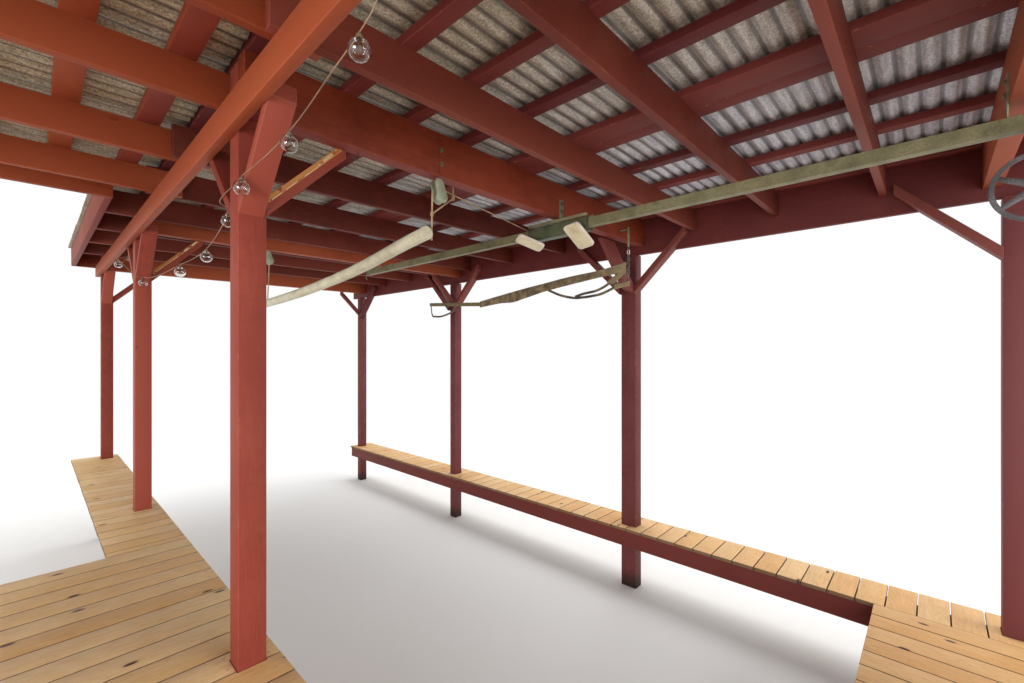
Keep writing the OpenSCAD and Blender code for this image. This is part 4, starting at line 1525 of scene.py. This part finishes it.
@dataclass
class HoistGear:
    """Rail, hangers, drive housing, lamps, gear box, wheel, rope blocks, ropes and stored pole."""

    rail_x: float = 0.325
    rail_top: float = 2.955
    rail_low: float = 2.898
    rail_near: float = -3.485
    rail_far: float = 1.178
    wheel_at: Point = (0.263, -3.503, 2.680)
    wheel_rim: float = 0.115
    spokes: int = 6
    spoke_turn_deg: float = 55
    block_y: tuple[float, float] = (-1.358, 1.107)
    # Just under the crossbeams
    shank_top: float = 2.9935
    fork: Point = (-0.7303, -1.358, 2.803)
    hitch: Point = (-0.566, -1.327, 2.930)
    ropes: tuple[tuple[str, Point, Point, float], ...] = (
        ("pole_rope_near", (-0.733, -1.358, 2.668), (-0.728, -1.358, 2.916), 0.005),
        ("pole_rope_tail", (-0.7303, -1.358, 2.803), (-0.566, -1.327, 2.930), 0.0045),
        ("pole_rope_far", (-0.691, 1.107, 2.559), (-0.678, 1.107, 2.8665), 0.005),
        ("hauling_cable", (-0.655, -1.358, 2.943), (0.281, -1.132, 2.948), 0.003),
    )

    def paint_node(self, node: str, material: Finish) -> None:
        """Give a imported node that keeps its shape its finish."""
        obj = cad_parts[node]
        if len(obj.material_slots) == 0:
            obj.data.materials.append(material)
        for slot in obj.material_slots:
            slot.material = material

    def rail(self, finishes: Finishes) -> None:
        """Build the closed rail with its two thin lower lips and the hook on its far end."""
        side, lip_out, lip_h = 0.022, 0.002, 0.004
        right = [
            (side, self.rail_top), (side, self.rail_low + lip_h), (side + lip_out, self.rail_low + lip_h),
            (side + lip_out, self.rail_low),
        ]
        outline = right + [(-x, z) for x, z in reversed(right)]
        corners = [Vector((self.rail_x + x, self.rail_near, z)) for x, z in outline]
        rail = prism("rail", corners, Vector((0, self.rail_far - self.rail_near, 0)), 0.0008)
        shade(rail, 30)
        place_piece(rail, "rail_channel", [finishes.olive], ("hoist_rail",))
        x, y, z = self.rail_x, self.rail_far, self.rail_low
        bend = [
            (x, y - 0.01, z + 0.02), (x, y + 0.022, z + 0.012), (x, y + 0.036, z - 0.014),
            (x, y + 0.02, z - 0.040),
        ]
        hook = line_mesh("rail_end_hook", smooth_route(bend, 6), 0.0045, 3)
        shade(hook, 50)
        place_piece(hook, "rail_end_hook", [finishes.olive])

    def housing(self, finishes: Finishes) -> None:
        """Build the drive housing: lipped side panels with a wavy lower edge, floor and end brackets."""
        y0, y1, low, top = -1.622, -1.130, 2.874, 2.985
        seam, seam_gap, panel_t, wall = 2.966, 0.008, 0.008, 0.012
        # Seven waves 10 mm high along the lower edge, their tips 4 mm above the floor's underside
        waves, wave_h, wave_low, steps = 7, 0.010, 0.004, 70
        lower = []
        for k in range(steps + 1):
            t = k / steps
            rise = wave_low + wave_h * abs(math.sin(math.pi * waves * t))
            lower.append((y0 + (y1 - y0) * t, low + rise))
        parts, lips = [], []
        for side in (-1, 1):
            inner = self.rail_x + side * 0.031
            ends = [(y1, seam - seam_gap), (y0, seam - seam_gap)]
            outline = [Vector((inner, y, z)) for y, z in lower + ends]
            parts.append(prism("panel", outline, Vector((side * panel_t, 0, 0)), 0.001))
            edge = [Vector((inner, y, z)) for y, z in ((y0, seam), (y1, seam), (y1, top), (y0, top))]
            lips.append(prism("lip", edge, Vector((side * wall, 0, 0)), 0.0015))
            # Pressed ribs 6 mm wide on the outer face
            for k in range(1, waves):
                y = y0 + (y1 - y0) * k / waves
                face = inner + side * panel_t
                lo = (min(face, face + side * 0.003), y - 0.003, low + 0.010)
                hi = (max(face, face + side * 0.003), y + 0.003, seam - 0.012)
                rib = add_block(lo, hi, "rib")
                ease_edges(rib, 0.001, 2)
                parts.append(rib)
        floor = add_block((0.294, y0 + 0.02, low), (0.356, y1 - 0.02, self.rail_low - 0.0005), "floor")
        ease_edges(floor, 0.002, 2)
        parts.append(floor)
        for y, way in ((y0, 1), (y1, -1)):
            for side in (-1, 1):
                face = self.rail_x + side * 0.039
                ends = sorted((y, y + way * 0.04))
                xs = sorted((face, face + side * 0.004))
                bracket = add_block((xs[0], ends[0], low + 0.012), (xs[1], ends[1], seam - 0.011), "bracket")
                ease_edges(bracket, 0.001, 2)
                parts.append(bracket)
        body = join(parts, "housing_body")
        shade(body, 30)
        place_piece(body, "housing_body", [finishes.housing], ("drive_housing",))
        rim = join(lips, "housing_lips")
        shade(rim, 30)
        place_piece(rim, "housing_lips", [finishes.olive], ("drive_housing",))

    def lamps(self, finishes: Finishes) -> None:
        """Build the two flat lamps with rounded corners, raised rims and round arms."""
        size = Vector((0.193, 0.138, 0.024))
        arm_radius, arm_x, arm_top = 0.009, 0.305, 2.87395
        corner, rim_h = 0.026, 0.004
        covers, rims = [], []
        for middle, turn, foot in (
            ((0.259, -1.578, 2.836), (-4.6, 39.8, -14.7), 2.798),
            ((0.254, -1.170, 2.855), (-5.7, 20.3, -36.3), 2.836),
        ):
            a, b, c = (math.radians(v) for v in turn)
            spin = Matrix.Rotation(c, 4, "Z") @ Matrix.Rotation(b, 4, "Y") @ Matrix.Rotation(a, 4, "X")
            place = Matrix.Translation(middle) @ spin
            for inset, low, high, group in (
                (0.006, -size.z / 2, size.z / 2, covers),
                (0.0, -size.z / 2 + rim_h, size.z / 2 - rim_h, rims),
            ):
                outline = []
                for sx, sy, start in ((1, 1, 0), (-1, 1, 90), (-1, -1, 180), (1, -1, 270)):
                    radius = corner - inset
                    cx, cy = sx * (size.x / 2 - corner), sy * (size.y / 2 - corner)
                    for k in range(7):
                        angle = math.radians(start + 15 * k)
                        x, y = cx + radius * math.cos(angle), cy + radius * math.sin(angle)
                        outline.append(Vector((x, y, low)))
                plate = prism("lamp_plate", outline, Vector((0, 0, high - low)), 0.002)
                plate.data.transform(place)
                group.append(plate)
            ends = [Vector((arm_x, middle[1], z)) for z in (foot, arm_top)]
            rims.append(line_mesh("lamp_arm", ends, arm_radius, 4))
        for group, name, material in (
            (covers, "lamp_faces", finishes.lamp),
            (rims, "lamp_rims", finishes.lamp_rim),
        ):
            made = join(group, name)
            shade(made, 35)
            place_piece(made, name, [material], ("housing_lamps",))

    def gear(self, finishes: Finishes) -> None:
        """Round the gear box's edges."""
        box = eased_copy("gear_box", "gear_box_body", 0.003)
        shade(box, 30)
        place_piece(box, "gear_box_body", [finishes.housing], ("gear_box",))

    def wheel(self, finishes: Finishes) -> None:
        """Build the drive wheel: thin flat rim, bored hub and tapered flat spokes."""
        r = self.wheel_rim
        rim = spin_profile(
            "rim",
            [
                (r - 0.006, -0.006), (r + 0.008, -0.006), (r + 0.009, -0.004), (r + 0.009, 0.004),
                (r + 0.008, 0.006), (r - 0.006, 0.006), (r - 0.007, 0.004), (r - 0.007, -0.004),
                (r - 0.006, -0.006),
            ],
            72,
        )
        hub = spin_profile(
            "hub",
            [
                (0.0101, -0.020), (0.022, -0.020), (0.024, -0.018), (0.024, 0.018), (0.022, 0.020),
                (0.0101, 0.020), (0.0101, -0.020),
            ],
            32,
        )
        parts = [rim, hub]
        foot, foot_w, tip_w, flat = 0.019, 0.013, 0.008, 0.006
        outline = [
            Vector((foot, -foot_w, -flat / 2)), Vector((r - 0.004, -tip_w, -flat / 2)),
            Vector((r - 0.004, tip_w, -flat / 2)), Vector((foot, foot_w, -flat / 2)),
        ]
        for k in range(self.spokes):
            spoke = prism("spoke", outline, Vector((0, 0, flat)), 0.0015)
            turn = math.radians(self.spoke_turn_deg) + 2 * math.pi * k / self.spokes
            spoke.data.transform(Matrix.Rotation(turn, 4, "Z"))
            parts.append(spoke)
        wheel = join(parts, "wheel_spoked")
        upright = Matrix.Rotation(math.radians(90), 4, "Y")
        wheel.data.transform(Matrix.Translation(self.wheel_at) @ upright)
        shade(wheel, 35)
        place_piece(wheel, "wheel_spoked", [finishes.wheel], ("drive_wheel",), WHEEL)

    def block(self, finishes: Finishes) -> None:
        """Build the rope blocks, each with two oval cheeks, a grooved sheave, an axle pin and a shank."""
        y, depth, cheek_t = self.block_y[0], 0.044, 0.005
        upper, lower = (-0.696, 2.962), (-0.678, 2.900)
        turn = math.atan2(upper[1] - lower[1], upper[0] - lower[0])
        outline = []
        quarter = math.pi / 2
        for (cx, cz), radius, start in ((upper, 0.027, turn - quarter), (lower, 0.033, turn + quarter)):
            for k in range(13):
                angle = start + math.pi * k / 12
                outline.append((cx + radius * math.cos(angle), cz + radius * math.sin(angle)))
        parts = []
        for face_y in (y - depth / 2, y + depth / 2 - cheek_t):
            cheek = [Vector((x, face_y, z)) for x, z in outline]
            parts.append(prism("cheek", cheek, Vector((0, cheek_t, 0)), 0.0012))
        groove = [
            (0.006, -0.011), (0.026, -0.011), (0.027, -0.009), (0.021, -0.003), (0.021, 0.003),
            (0.027, 0.009), (0.026, 0.011), (0.006, 0.011), (0.006, -0.011),
        ]
        sheave = spin_profile("sheave", groove, 36)
        face = Matrix.Translation((lower[0], y, lower[1])) @ Matrix.Rotation(math.radians(90), 4, "X")
        sheave.data.transform(face)
        parts.append(sheave)
        reach = depth / 2 - 0.001
        pin = [Vector((lower[0], y + way * reach, lower[1])) for way in (-1, 1)]
        parts.append(line_mesh("pin", pin, 0.0065, 4))
        shank = [Vector((upper[0], y, upper[1] - 0.012)), Vector((upper[0], y, self.shank_top))]
        parts.append(line_mesh("shank", shank, 0.0075, 4))
        near = join(parts, "rope_block_near")
        shade(near, 35)
        far = copy_shape(near, Matrix.Translation((0, self.block_y[1] - self.block_y[0], 0)))
        for block, name in ((near, "rope_block_near"), (far, "rope_block_far")):
            place_piece(block, name, [finishes.block], ("pulley_block",))

    def knot(self, middle: Point, inner: float, radius: float, turns: int) -> Piece:
        """Wind a few turns of rope round an upright line.

        Args:
            middle: Middle of the knot.
            inner: Radius to the middle of the winding.
            radius: Radius of the rope.
            turns: Number of turns.

        Returns:
            The winding as a mesh.
        """
        steps = 16 * turns
        height = turns * radius * 1.7
        points = [
            Vector(middle)
            + Vector(
                (
                    inner * math.cos(2 * math.pi * turns * k / steps),
                    inner * math.sin(2 * math.pi * turns * k / steps),
                    height * (k / steps - 0.5),
                )
            )
            for k in range(steps + 1)
        ]
        return line_mesh("knot", points, radius, 2)

    def ropework(self, finishes: Finishes) -> None:
        """Build the ropes, the knots of two of them and the stem that the tail hangs from."""
        knots = {
            "pole_rope_near": [self.knot(self.fork, 0.0065, 0.0036, 3)],
            "pole_rope_tail": [self.knot(self.hitch, 0.0062, 0.0036, 3)],
        }
        eye = [Vector(self.hitch) + Vector((0, 0, 0.002)), Vector((*self.hitch[:2], self.shank_top))]
        knots["pole_rope_tail"].append(line_mesh("tail_stem", eye, 0.0028, 3))
        for name, start, end, radius in self.ropes:
            points = [Vector(start).lerp(Vector(end), k / 15) for k in range(16)]
            rope = add_line(name, points, radius)
            place_piece(rope, name, [finishes.rope], ("pole_ropes",))
            if name in knots:
                knot = join(knots[name], name + "_knot")
                place_piece(knot, name + "_knot", [finishes.rope])

    def build(self, finishes: Finishes) -> None:
        """Build the hoist gear."""
        self.paint_node("rail_hangers", finishes.strap)
        self.paint_node("dock_pole", finishes.pole)
        self.rail(finishes)
        self.housing(finishes)
        self.lamps(finishes)
        self.gear(finishes)
        self.wheel(finishes)
        self.block(finishes)
        self.ropework(finishes)


@dataclass
class BoatSling:
    """Folded webbing sling in its own upright plane, with its batten, strips, strap, chain and hook."""

    at: tuple[float, float] = (1.110, -1.440)
    turn_deg: float = 83.4
    top: tuple[Flat, ...] = (
        (-0.003, 2.803), (0.245, 2.772), (0.605, 2.758), (0.911, 2.736), (1.255, 2.711), (1.615, 2.679),
        (1.962, 2.646),
    )
    low: tuple[Flat, ...] = (
        (-0.003, 2.735), (0.245, 2.722), (0.605, 2.695), (0.889, 2.670), (1.021, 2.653), (1.255, 2.619),
        (1.404, 2.601), (1.615, 2.606), (1.962, 2.588),
    )
    near_tail: tuple[Flat, ...] = ((0.002, 2.770), (0.002, 2.625))
    near_pad: tuple[Flat, ...] = (
        (-0.037, 2.651), (0.073, 2.641), (0.113, 2.640), (0.108, 2.601), (-0.037, 2.613),
    )
    near_strip: tuple[Flat, ...] = (
        (0.100, 2.618), (0.236, 2.577), (0.334, 2.567), (0.443, 2.564), (0.560, 2.570), (0.723, 2.610),
        (0.889, 2.678),
    )
    inner_pad: tuple[Flat, ...] = (
        (-0.003, 2.744), (0.096, 2.716), (0.153, 2.692), (0.188, 2.663), (0.130, 2.645), (0.107, 2.654),
        (0.040, 2.697), (-0.003, 2.722),
    )
    inner_strip: tuple[Flat, ...] = (
        (0.150, 2.662), (0.236, 2.625), (0.322, 2.605), (0.437, 2.596), (0.540, 2.578),
    )
    far_loop: tuple[Flat, ...] = (
        (3.050, 2.690), (3.021, 2.560), (2.940, 2.536), (2.783, 2.531), (2.558, 2.566), (2.349, 2.640),
    )
    batten: tuple[Flat, ...] = ((1.940, 2.618), (3.061, 2.698))
    batten_h: float = 0.042
    batten_w: float = 0.030
    strip_w: float = 0.022
    tail_w: float = 0.012
    chain_at: tuple[float, float] = (1.107, -1.465)
    strap_low: float = 2.925
    strap_top: float = 3.080
    rod_z: float = 3.062
    # Near face of the second crossbeam
    rod_end: float = -1.3961
    first_link: float = 0.017
    link_pitch: float = 0.026
    links: int = 9
    rng: random.Random = field(default_factory=lambda: random.Random(19))

    def world(self, s: float, z: float, off: float = 0.0) -> Vector:
        """Place of a point of the sling's plane, off it by a distance."""
        turn = math.radians(self.turn_deg)
        x = self.at[0] + s * math.cos(turn) + off * math.sin(turn)
        y = self.at[1] + s * math.sin(turn) - off * math.cos(turn)
        return Vector((x, y, z))

    def along(self, points: tuple[Flat, ...], t: float) -> tuple[float, float]:
        """Point at a share of the way along a line of plane points.

        Args:
            points: The line.
            t: Share from 0 to 1.

        Returns:
            Distance and height of the point.
        """
        lengths = [math.dist(a, b) for a, b in zip(points, points[1:])]
        left = t * sum(lengths)
        for (a, b), length in zip(zip(points, points[1:]), lengths):
            if left <= length or (a, b) == (points[-2], points[-1]):
                share = min(left / length, 1.0)
                return (a[0] + (b[0] - a[0]) * share, a[1] + (b[1] - a[1]) * share)
            left -= length
        return points[-1]

    def web(
        self,
        name: str,
        top: tuple[Flat, ...],
        low: tuple[Flat, ...],
        cells: tuple[int, int],
        off: float,
        wrinkle: float,
        t: float,
    ) -> Piece:
        """Lay one thickness of webbing between two edges, with wrinkles along it.

        Args:
            name: Name of the piece.
            top: Upper edge in the plane.
            low: Lower edge.
            cells: Cells along and across.
            off: Distance of its middle from the plane.
            wrinkle: Height of the wrinkles.
            t: Thickness of the webbing.

        Returns:
            The webbing as a closed mesh.
        """
        deselect()
        bpy.ops.mesh.primitive_grid_add(x_subdivisions=cells[0], y_subdivisions=cells[1], size=1)
        piece = bpy.context.object
        piece.name = name
        seed = self.rng.uniform(0, 50)
        for vert in piece.data.vertices:
            u, v = vert.co.x + 0.5, vert.co.y + 0.5
            upper, under = self.along(top, u), self.along(low, u)
            # Long folds follow the webbing, short creases cross them
            fold = noise.noise(Vector((u * 7, v * 3.4, seed)))
            fold += 0.5 * noise.noise(Vector((u * 34, v * 2.2, seed + 9)))
            s = under[0] + (upper[0] - under[0]) * v
            z = under[1] + (upper[1] - under[1]) * v
            vert.co = self.world(s, z, off + wrinkle * fold)
        apply_modifier(piece, "SOLIDIFY", thickness=t, offset=0.0)
        shade(piece, 60)
        return piece

    def strip(
        self, name: str, line: tuple[Flat, ...], width: float, off: float, wrinkle: float
    ) -> Piece:
        """Lay one narrow strip of webbing along a line of plane points.

        Args:
            name: Name of the strip.
            line: Its middle line in the plane.
            width: Its width.
            off: Distance of its middle from the plane.
            wrinkle: Height of the wrinkles.

        Returns:
            The strip as a closed mesh.
        """
        route = [(p.x, p.y) for p in smooth_route([(s, z, 0) for s, z in line], 5)]
        edges: list[list[Flat]] = [[], []]
        for i, (s, z) in enumerate(route):
            a, b = route[max(i - 1, 0)], route[min(i + 1, len(route) - 1)]
            length = math.dist(a, b)
            across = (-(b[1] - a[1]) / length, (b[0] - a[0]) / length)
            for edge, side in zip(edges, (1, -1)):
                edge.append((s + side * width / 2 * across[0], z + side * width / 2 * across[1]))
        return self.web(name, tuple(edges[0]), tuple(edges[1]), (len(route) * 3, 4), off, wrinkle, 0.0028)

    def webbing(self, finishes: Finishes) -> None:
        """Build the folded sling body, its rolled hems, pads and loose strips."""
        body = [
            self.web("front_fold", self.top, self.low, (190, 14), -0.0036, 0.0040, 0.0026),
            self.web("back_fold", self.top, self.low, (190, 14), 0.0036, 0.0040, 0.0026),
        ]
        for edge in (self.top, self.low):
            hem = smooth_route([self.world(s, z) for s, z in edge], 6)
            body.append(line_mesh("hem", hem, 0.0055, 3))
        for outline in (self.near_pad, self.inner_pad):
            corners = [self.world(s, z, -0.004) for s, z in outline]
            push = self.world(0, 0, 0.008) - self.world(0, 0, 0)
            body.append(prism("pad", corners, push, 0.003))
        made = join(body, "sling_body")
        shade(made, 50)
        place_piece(made, "sling_body", [finishes.web], ("boat_sling",))
        strips = [
            self.strip("near_tail", self.near_tail, self.tail_w, 0.0, 0.001),
            self.strip("near_strip", self.near_strip, self.strip_w, -0.002, 0.0015),
            self.strip("inner_strip", self.inner_strip, self.strip_w, 0.002, 0.0015),
            self.strip("far_loop", self.far_loop, self.strip_w, 0.0, 0.0015),
        ]
        made = join(strips, "sling_strips")
        place_piece(made, "sling_strips", [finishes.loop], ("boat_sling",))

    def stick(self, finishes: Finishes) -> None:
        """Build the timber batten that holds the sling's far end up."""
        a, b = (Vector((*p, 0)) for p in self.batten)
        rise = (b - a).normalized()
        across = Vector((-rise.y, rise.x, 0)) * self.batten_h / 2
        corners = (a + across, b + across, b - across, a - across)
        outline = [self.world(p.x, p.y, -self.batten_w / 2) for p in corners]
        push = self.world(0, 0, self.batten_w) - self.world(0, 0, 0)
        batten = prism("batten", outline, push, 0.003)
        mark_grain(batten, self.rng)
        shade(batten, 30)
        place_piece(batten, "sling_batten", [finishes.batten], ("boat_sling",))

    def link_pattern(self) -> Piece:
        """Model one long chain link: a ring drawn out along Z until two neighbours hook into each other."""
        deselect()
        ring, wire, drawn = 0.0095, 0.0035, 0.007
        bpy.ops.mesh.primitive_torus_add(
            major_radius=ring,
            minor_radius=wire,
            major_segments=28,
            minor_segments=10,
            rotation=(math.pi / 2, 0, 0),
        )
        link = settle(bpy.context.object, "link_pattern")
        for vert in link.data.vertices:
            vert.co.z += drawn if vert.co.z > 0 else -drawn
        shade(link, 60)
        return link

    def chain(self, finishes: Finishes) -> None:
        """Build the strap, its rod, the chain of separate links and the hook that carries the batten."""
        x, y = self.chain_at
        half_w, half_t = 0.014, 0.003
        lo, hi = (x - half_w, y - half_t, self.strap_low), (x + half_w, y + half_t, self.strap_top)
        strap = add_block(lo, hi, "strap")
        ease_edges(strap, 0.0012, 2)
        rod = line_mesh("rod", [Vector((x, end, self.rod_z)) for end in (y, self.rod_end)], 0.006, 4)
        hanger = join([strap, rod], "chain_strap")
        shade(hanger, 35)
        place_piece(hanger, "chain_strap", [finishes.strap], ("sling_chain",))
        pattern = self.link_pattern()
        dull, bright = [], []
        for k in range(self.links):
            middle = Vector((x, y, self.strap_low - self.first_link - k * self.link_pitch))
            place = Matrix.Translation(middle) @ Matrix.Rotation(math.radians(90 * k), 4, "Z")
            (bright if k == 1 else dull).append(copy_shape(pattern, place))
        remove(pattern)
        for group, name, material in (
            (dull, "chain_links", finishes.chain),
            (bright, "chain_ring", finishes.lamp_rim),
        ):
            place_piece(join(group, name), name, [material], ("sling_chain",))
        # From the third right post's side, level and then up round the batten
        hook_y = 1.195
        side = ((1.5010, 2.638), (1.46, 2.638), (1.41, 2.638), (1.390, 2.648), (1.389, 2.668))
        bend = [(hook_x, hook_y, hook_z) for hook_x, hook_z in side]
        hook = line_mesh("batten_hook", smooth_route(bend, 5), 0.0055, 3)
        shade(hook, 50)
        place_piece(hook, "batten_hook", [finishes.chain], ("sling_chain",))

    def build(self, finishes: Finishes) -> None:
        """Build the sling and what holds it."""
        self.webbing(finishes)
        self.stick(finishes)
        self.chain(finishes)


@dataclass
class Fasteners:
    """Bolts of the crossbeams and hangers, nails and worn faces of the braces, and a small hook."""

    row_x: tuple[float, float] = (-1.5515, 1.5515)
    pair_y: tuple[float, ...] = (-3.560, -1.270, 1.195, 3.565)
    beam_reach: float = 0.1261
    bolt_z: tuple[float, float] = (3.057, 3.128)
    splice_x: float = -0.702
    hanger_x: float = 0.315
    hanger_z: tuple[float, float] = (3.039, 3.090)
    rng: random.Random = field(default_factory=lambda: random.Random(88))

    def bolt_pattern(self) -> Piece:
        """Model a hexagon head on its washer, facing +Z."""
        deselect()
        washer_r, washer_t, head_r, head_t = 0.014, 0.002, 0.0095, 0.007
        bpy.ops.mesh.primitive_cylinder_add(
            vertices=24, radius=washer_r, depth=washer_t, location=(0, 0, washer_t / 2)
        )
        washer = settle(bpy.context.object, "washer")
        ease_edges(washer, 0.0004, 1)
        deselect()
        bpy.ops.mesh.primitive_cylinder_add(
            vertices=6, radius=head_r, depth=head_t, location=(0, 0, washer_t + head_t / 2)
        )
        head = settle(bpy.context.object, "head")
        ease_edges(head, 0.0008, 2)
        bolt = join([washer, head], "bolt_pattern")
        shade(bolt, 30)
        return bolt

    def nail_pattern(self) -> Piece:
        """Model a nail head 8 mm across, facing +Z."""
        dome = [(0.0, 0.0012), (0.003, 0.001), (0.004, 0.0004), (0.004, -0.0004)]
        return spin_profile("nail_pattern", dome, 10)

    def build(self, finishes: Finishes) -> None:
        """Set all bolts and nails, lay the worn faces and hang the small hook."""
        spots: list[tuple[Vector, Vector]] = []
        for i, y in enumerate(self.pair_y):
            way = 1 if i == 0 else -1
            face = Vector((0, way, 0))
            for x in self.row_x:
                spots += [(Vector((x, y + way * self.beam_reach, z)), face) for z in self.bolt_z]
            if i < 3:
                strap = y + way * (self.beam_reach + 0.005)
                spots += [(Vector((self.hanger_x, strap, z)), face) for z in self.hanger_z]
        near = self.pair_y[1] - self.beam_reach
        spots += [(Vector((self.splice_x, near, z)), Vector((0, -1, 0))) for z in self.bolt_z]
        pattern = self.bolt_pattern()
        bolts = []
        for place, face in spots:
            turn = face.to_track_quat("Z", "Y").to_matrix().to_4x4()
            roll = Matrix.Rotation(self.rng.uniform(0, 1), 4, "Z")
            bolts.append(copy_shape(pattern, Matrix.Translation(place) @ turn @ roll))
        remove(pattern)
        place_piece(join(bolts, "beam_bolts"), "beam_bolts", [finishes.bolt])
        self.nails(finishes)
        self.worn_faces(finishes)
        self.beam_hook(finishes)

    def nails(self, finishes: Finishes) -> None:
        """Nail the feet of the left cross braces to their posts."""
        pattern = self.nail_pattern()
        turn = Vector((0, -1, 0)).to_track_quat("Z", "Y").to_matrix().to_4x4()
        nails = []
        for y in self.pair_y[1:]:
            for dx, z in ((0.012, 2.665), (0.030, 2.685), (0.016, 2.700)):
                place = Vector((self.row_x[0] + 0.05 + dx, y - 0.0502, z))
                nails.append(copy_shape(pattern, Matrix.Translation(place) @ turn))
        remove(pattern)
        place_piece(join(nails, "brace_nails"), "brace_nails", [finishes.screw])

    def worn_faces(self, finishes: Finishes) -> None:
        """Lay the bare golden strips and pale flakes of the second and third left cross braces."""
        foot_x, foot_z, run, slant = -1.5015, 2.632, 0.329, 0.0764
        # Along the brace and down from its upper edge: the bare strip, a thin pale line and a flaked patch
        shapes = (
            ("bare", ((0.02, 0.0), (1.0, 0.0), (1.0, 0.030), (0.02, 0.030)), 0.0004),
            ("line", ((0.03, 0.024), (0.62, 0.022), (0.62, 0.027), (0.03, 0.028)), 0.0007),
            (
                "flake",
                ((0.60, 0.014), (0.72, 0.006), (0.90, 0.005), (0.93, 0.016), (0.80, 0.024), (0.62, 0.026)),
                0.0007,
            ),
        )
        made: dict[str, list[Piece]] = {"bare": [], "line": [], "flake": []}
        for y in self.pair_y[1:3]:
            for name, corners, proud in shapes:
                outline = [
                    Vector((foot_x + run * t, y - 0.0501, foot_z + slant + run * t - down))
                    for t, down in corners
                ]
                made[name].append(prism("strip", outline, Vector((0, -proud, 0))))
        golden = join(made["bare"], "worn_brace_strips")
        pale = join(made["line"] + made["flake"], "brace_flakes")
        for obj, material in ((golden, finishes.brace_golden), (pale, finishes.brace_bare)):
            mark_grain(obj, self.rng)
            place_piece(obj, obj.name, [material])

    def beam_hook(self, finishes: Finishes) -> None:
        """Hang the small open hook from the second crossbeam's underside, beside the left post."""
        x, y, top = -1.130, -1.345, 2.9945
        # Stem 27 mm long, then a bend of 9 mm radius towards the left post
        stem, bend, wire = 0.027, 0.009, 0.0024
        away = Vector((-0.684, 0.730, 0))
        line = [Vector((x, y, top)), Vector((x, y, top - stem))]
        for k in range(1, 11):
            angle = math.radians(20 * k)
            low = Vector((x, y, top - stem - bend * math.sin(angle)))
            line.append(low + away * bend * (1 - math.cos(angle)))
        hook = line_mesh("beam_hook", line, wire, 3)
        shade(hook, 50)
        place_piece(hook, "beam_hook", [finishes.chain])


def main() -> None:
    """Build the whole scene in order."""
    logging.basicConfig(level=logging.INFO, format="%(message)s")
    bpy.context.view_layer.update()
    studio = Studio()
    studio.camera()
    finishes = Finishes()
    StringLights().build(finishes)
    HoistGear().build(finishes)
    BoatSling().build(finishes)
    TimberFrame().build(finishes)
    Fasteners().build(finishes)
    Decks().build(finishes)
    TinRoof().build(finishes)
    studio.build()


if __name__ == "__main__":
    main()
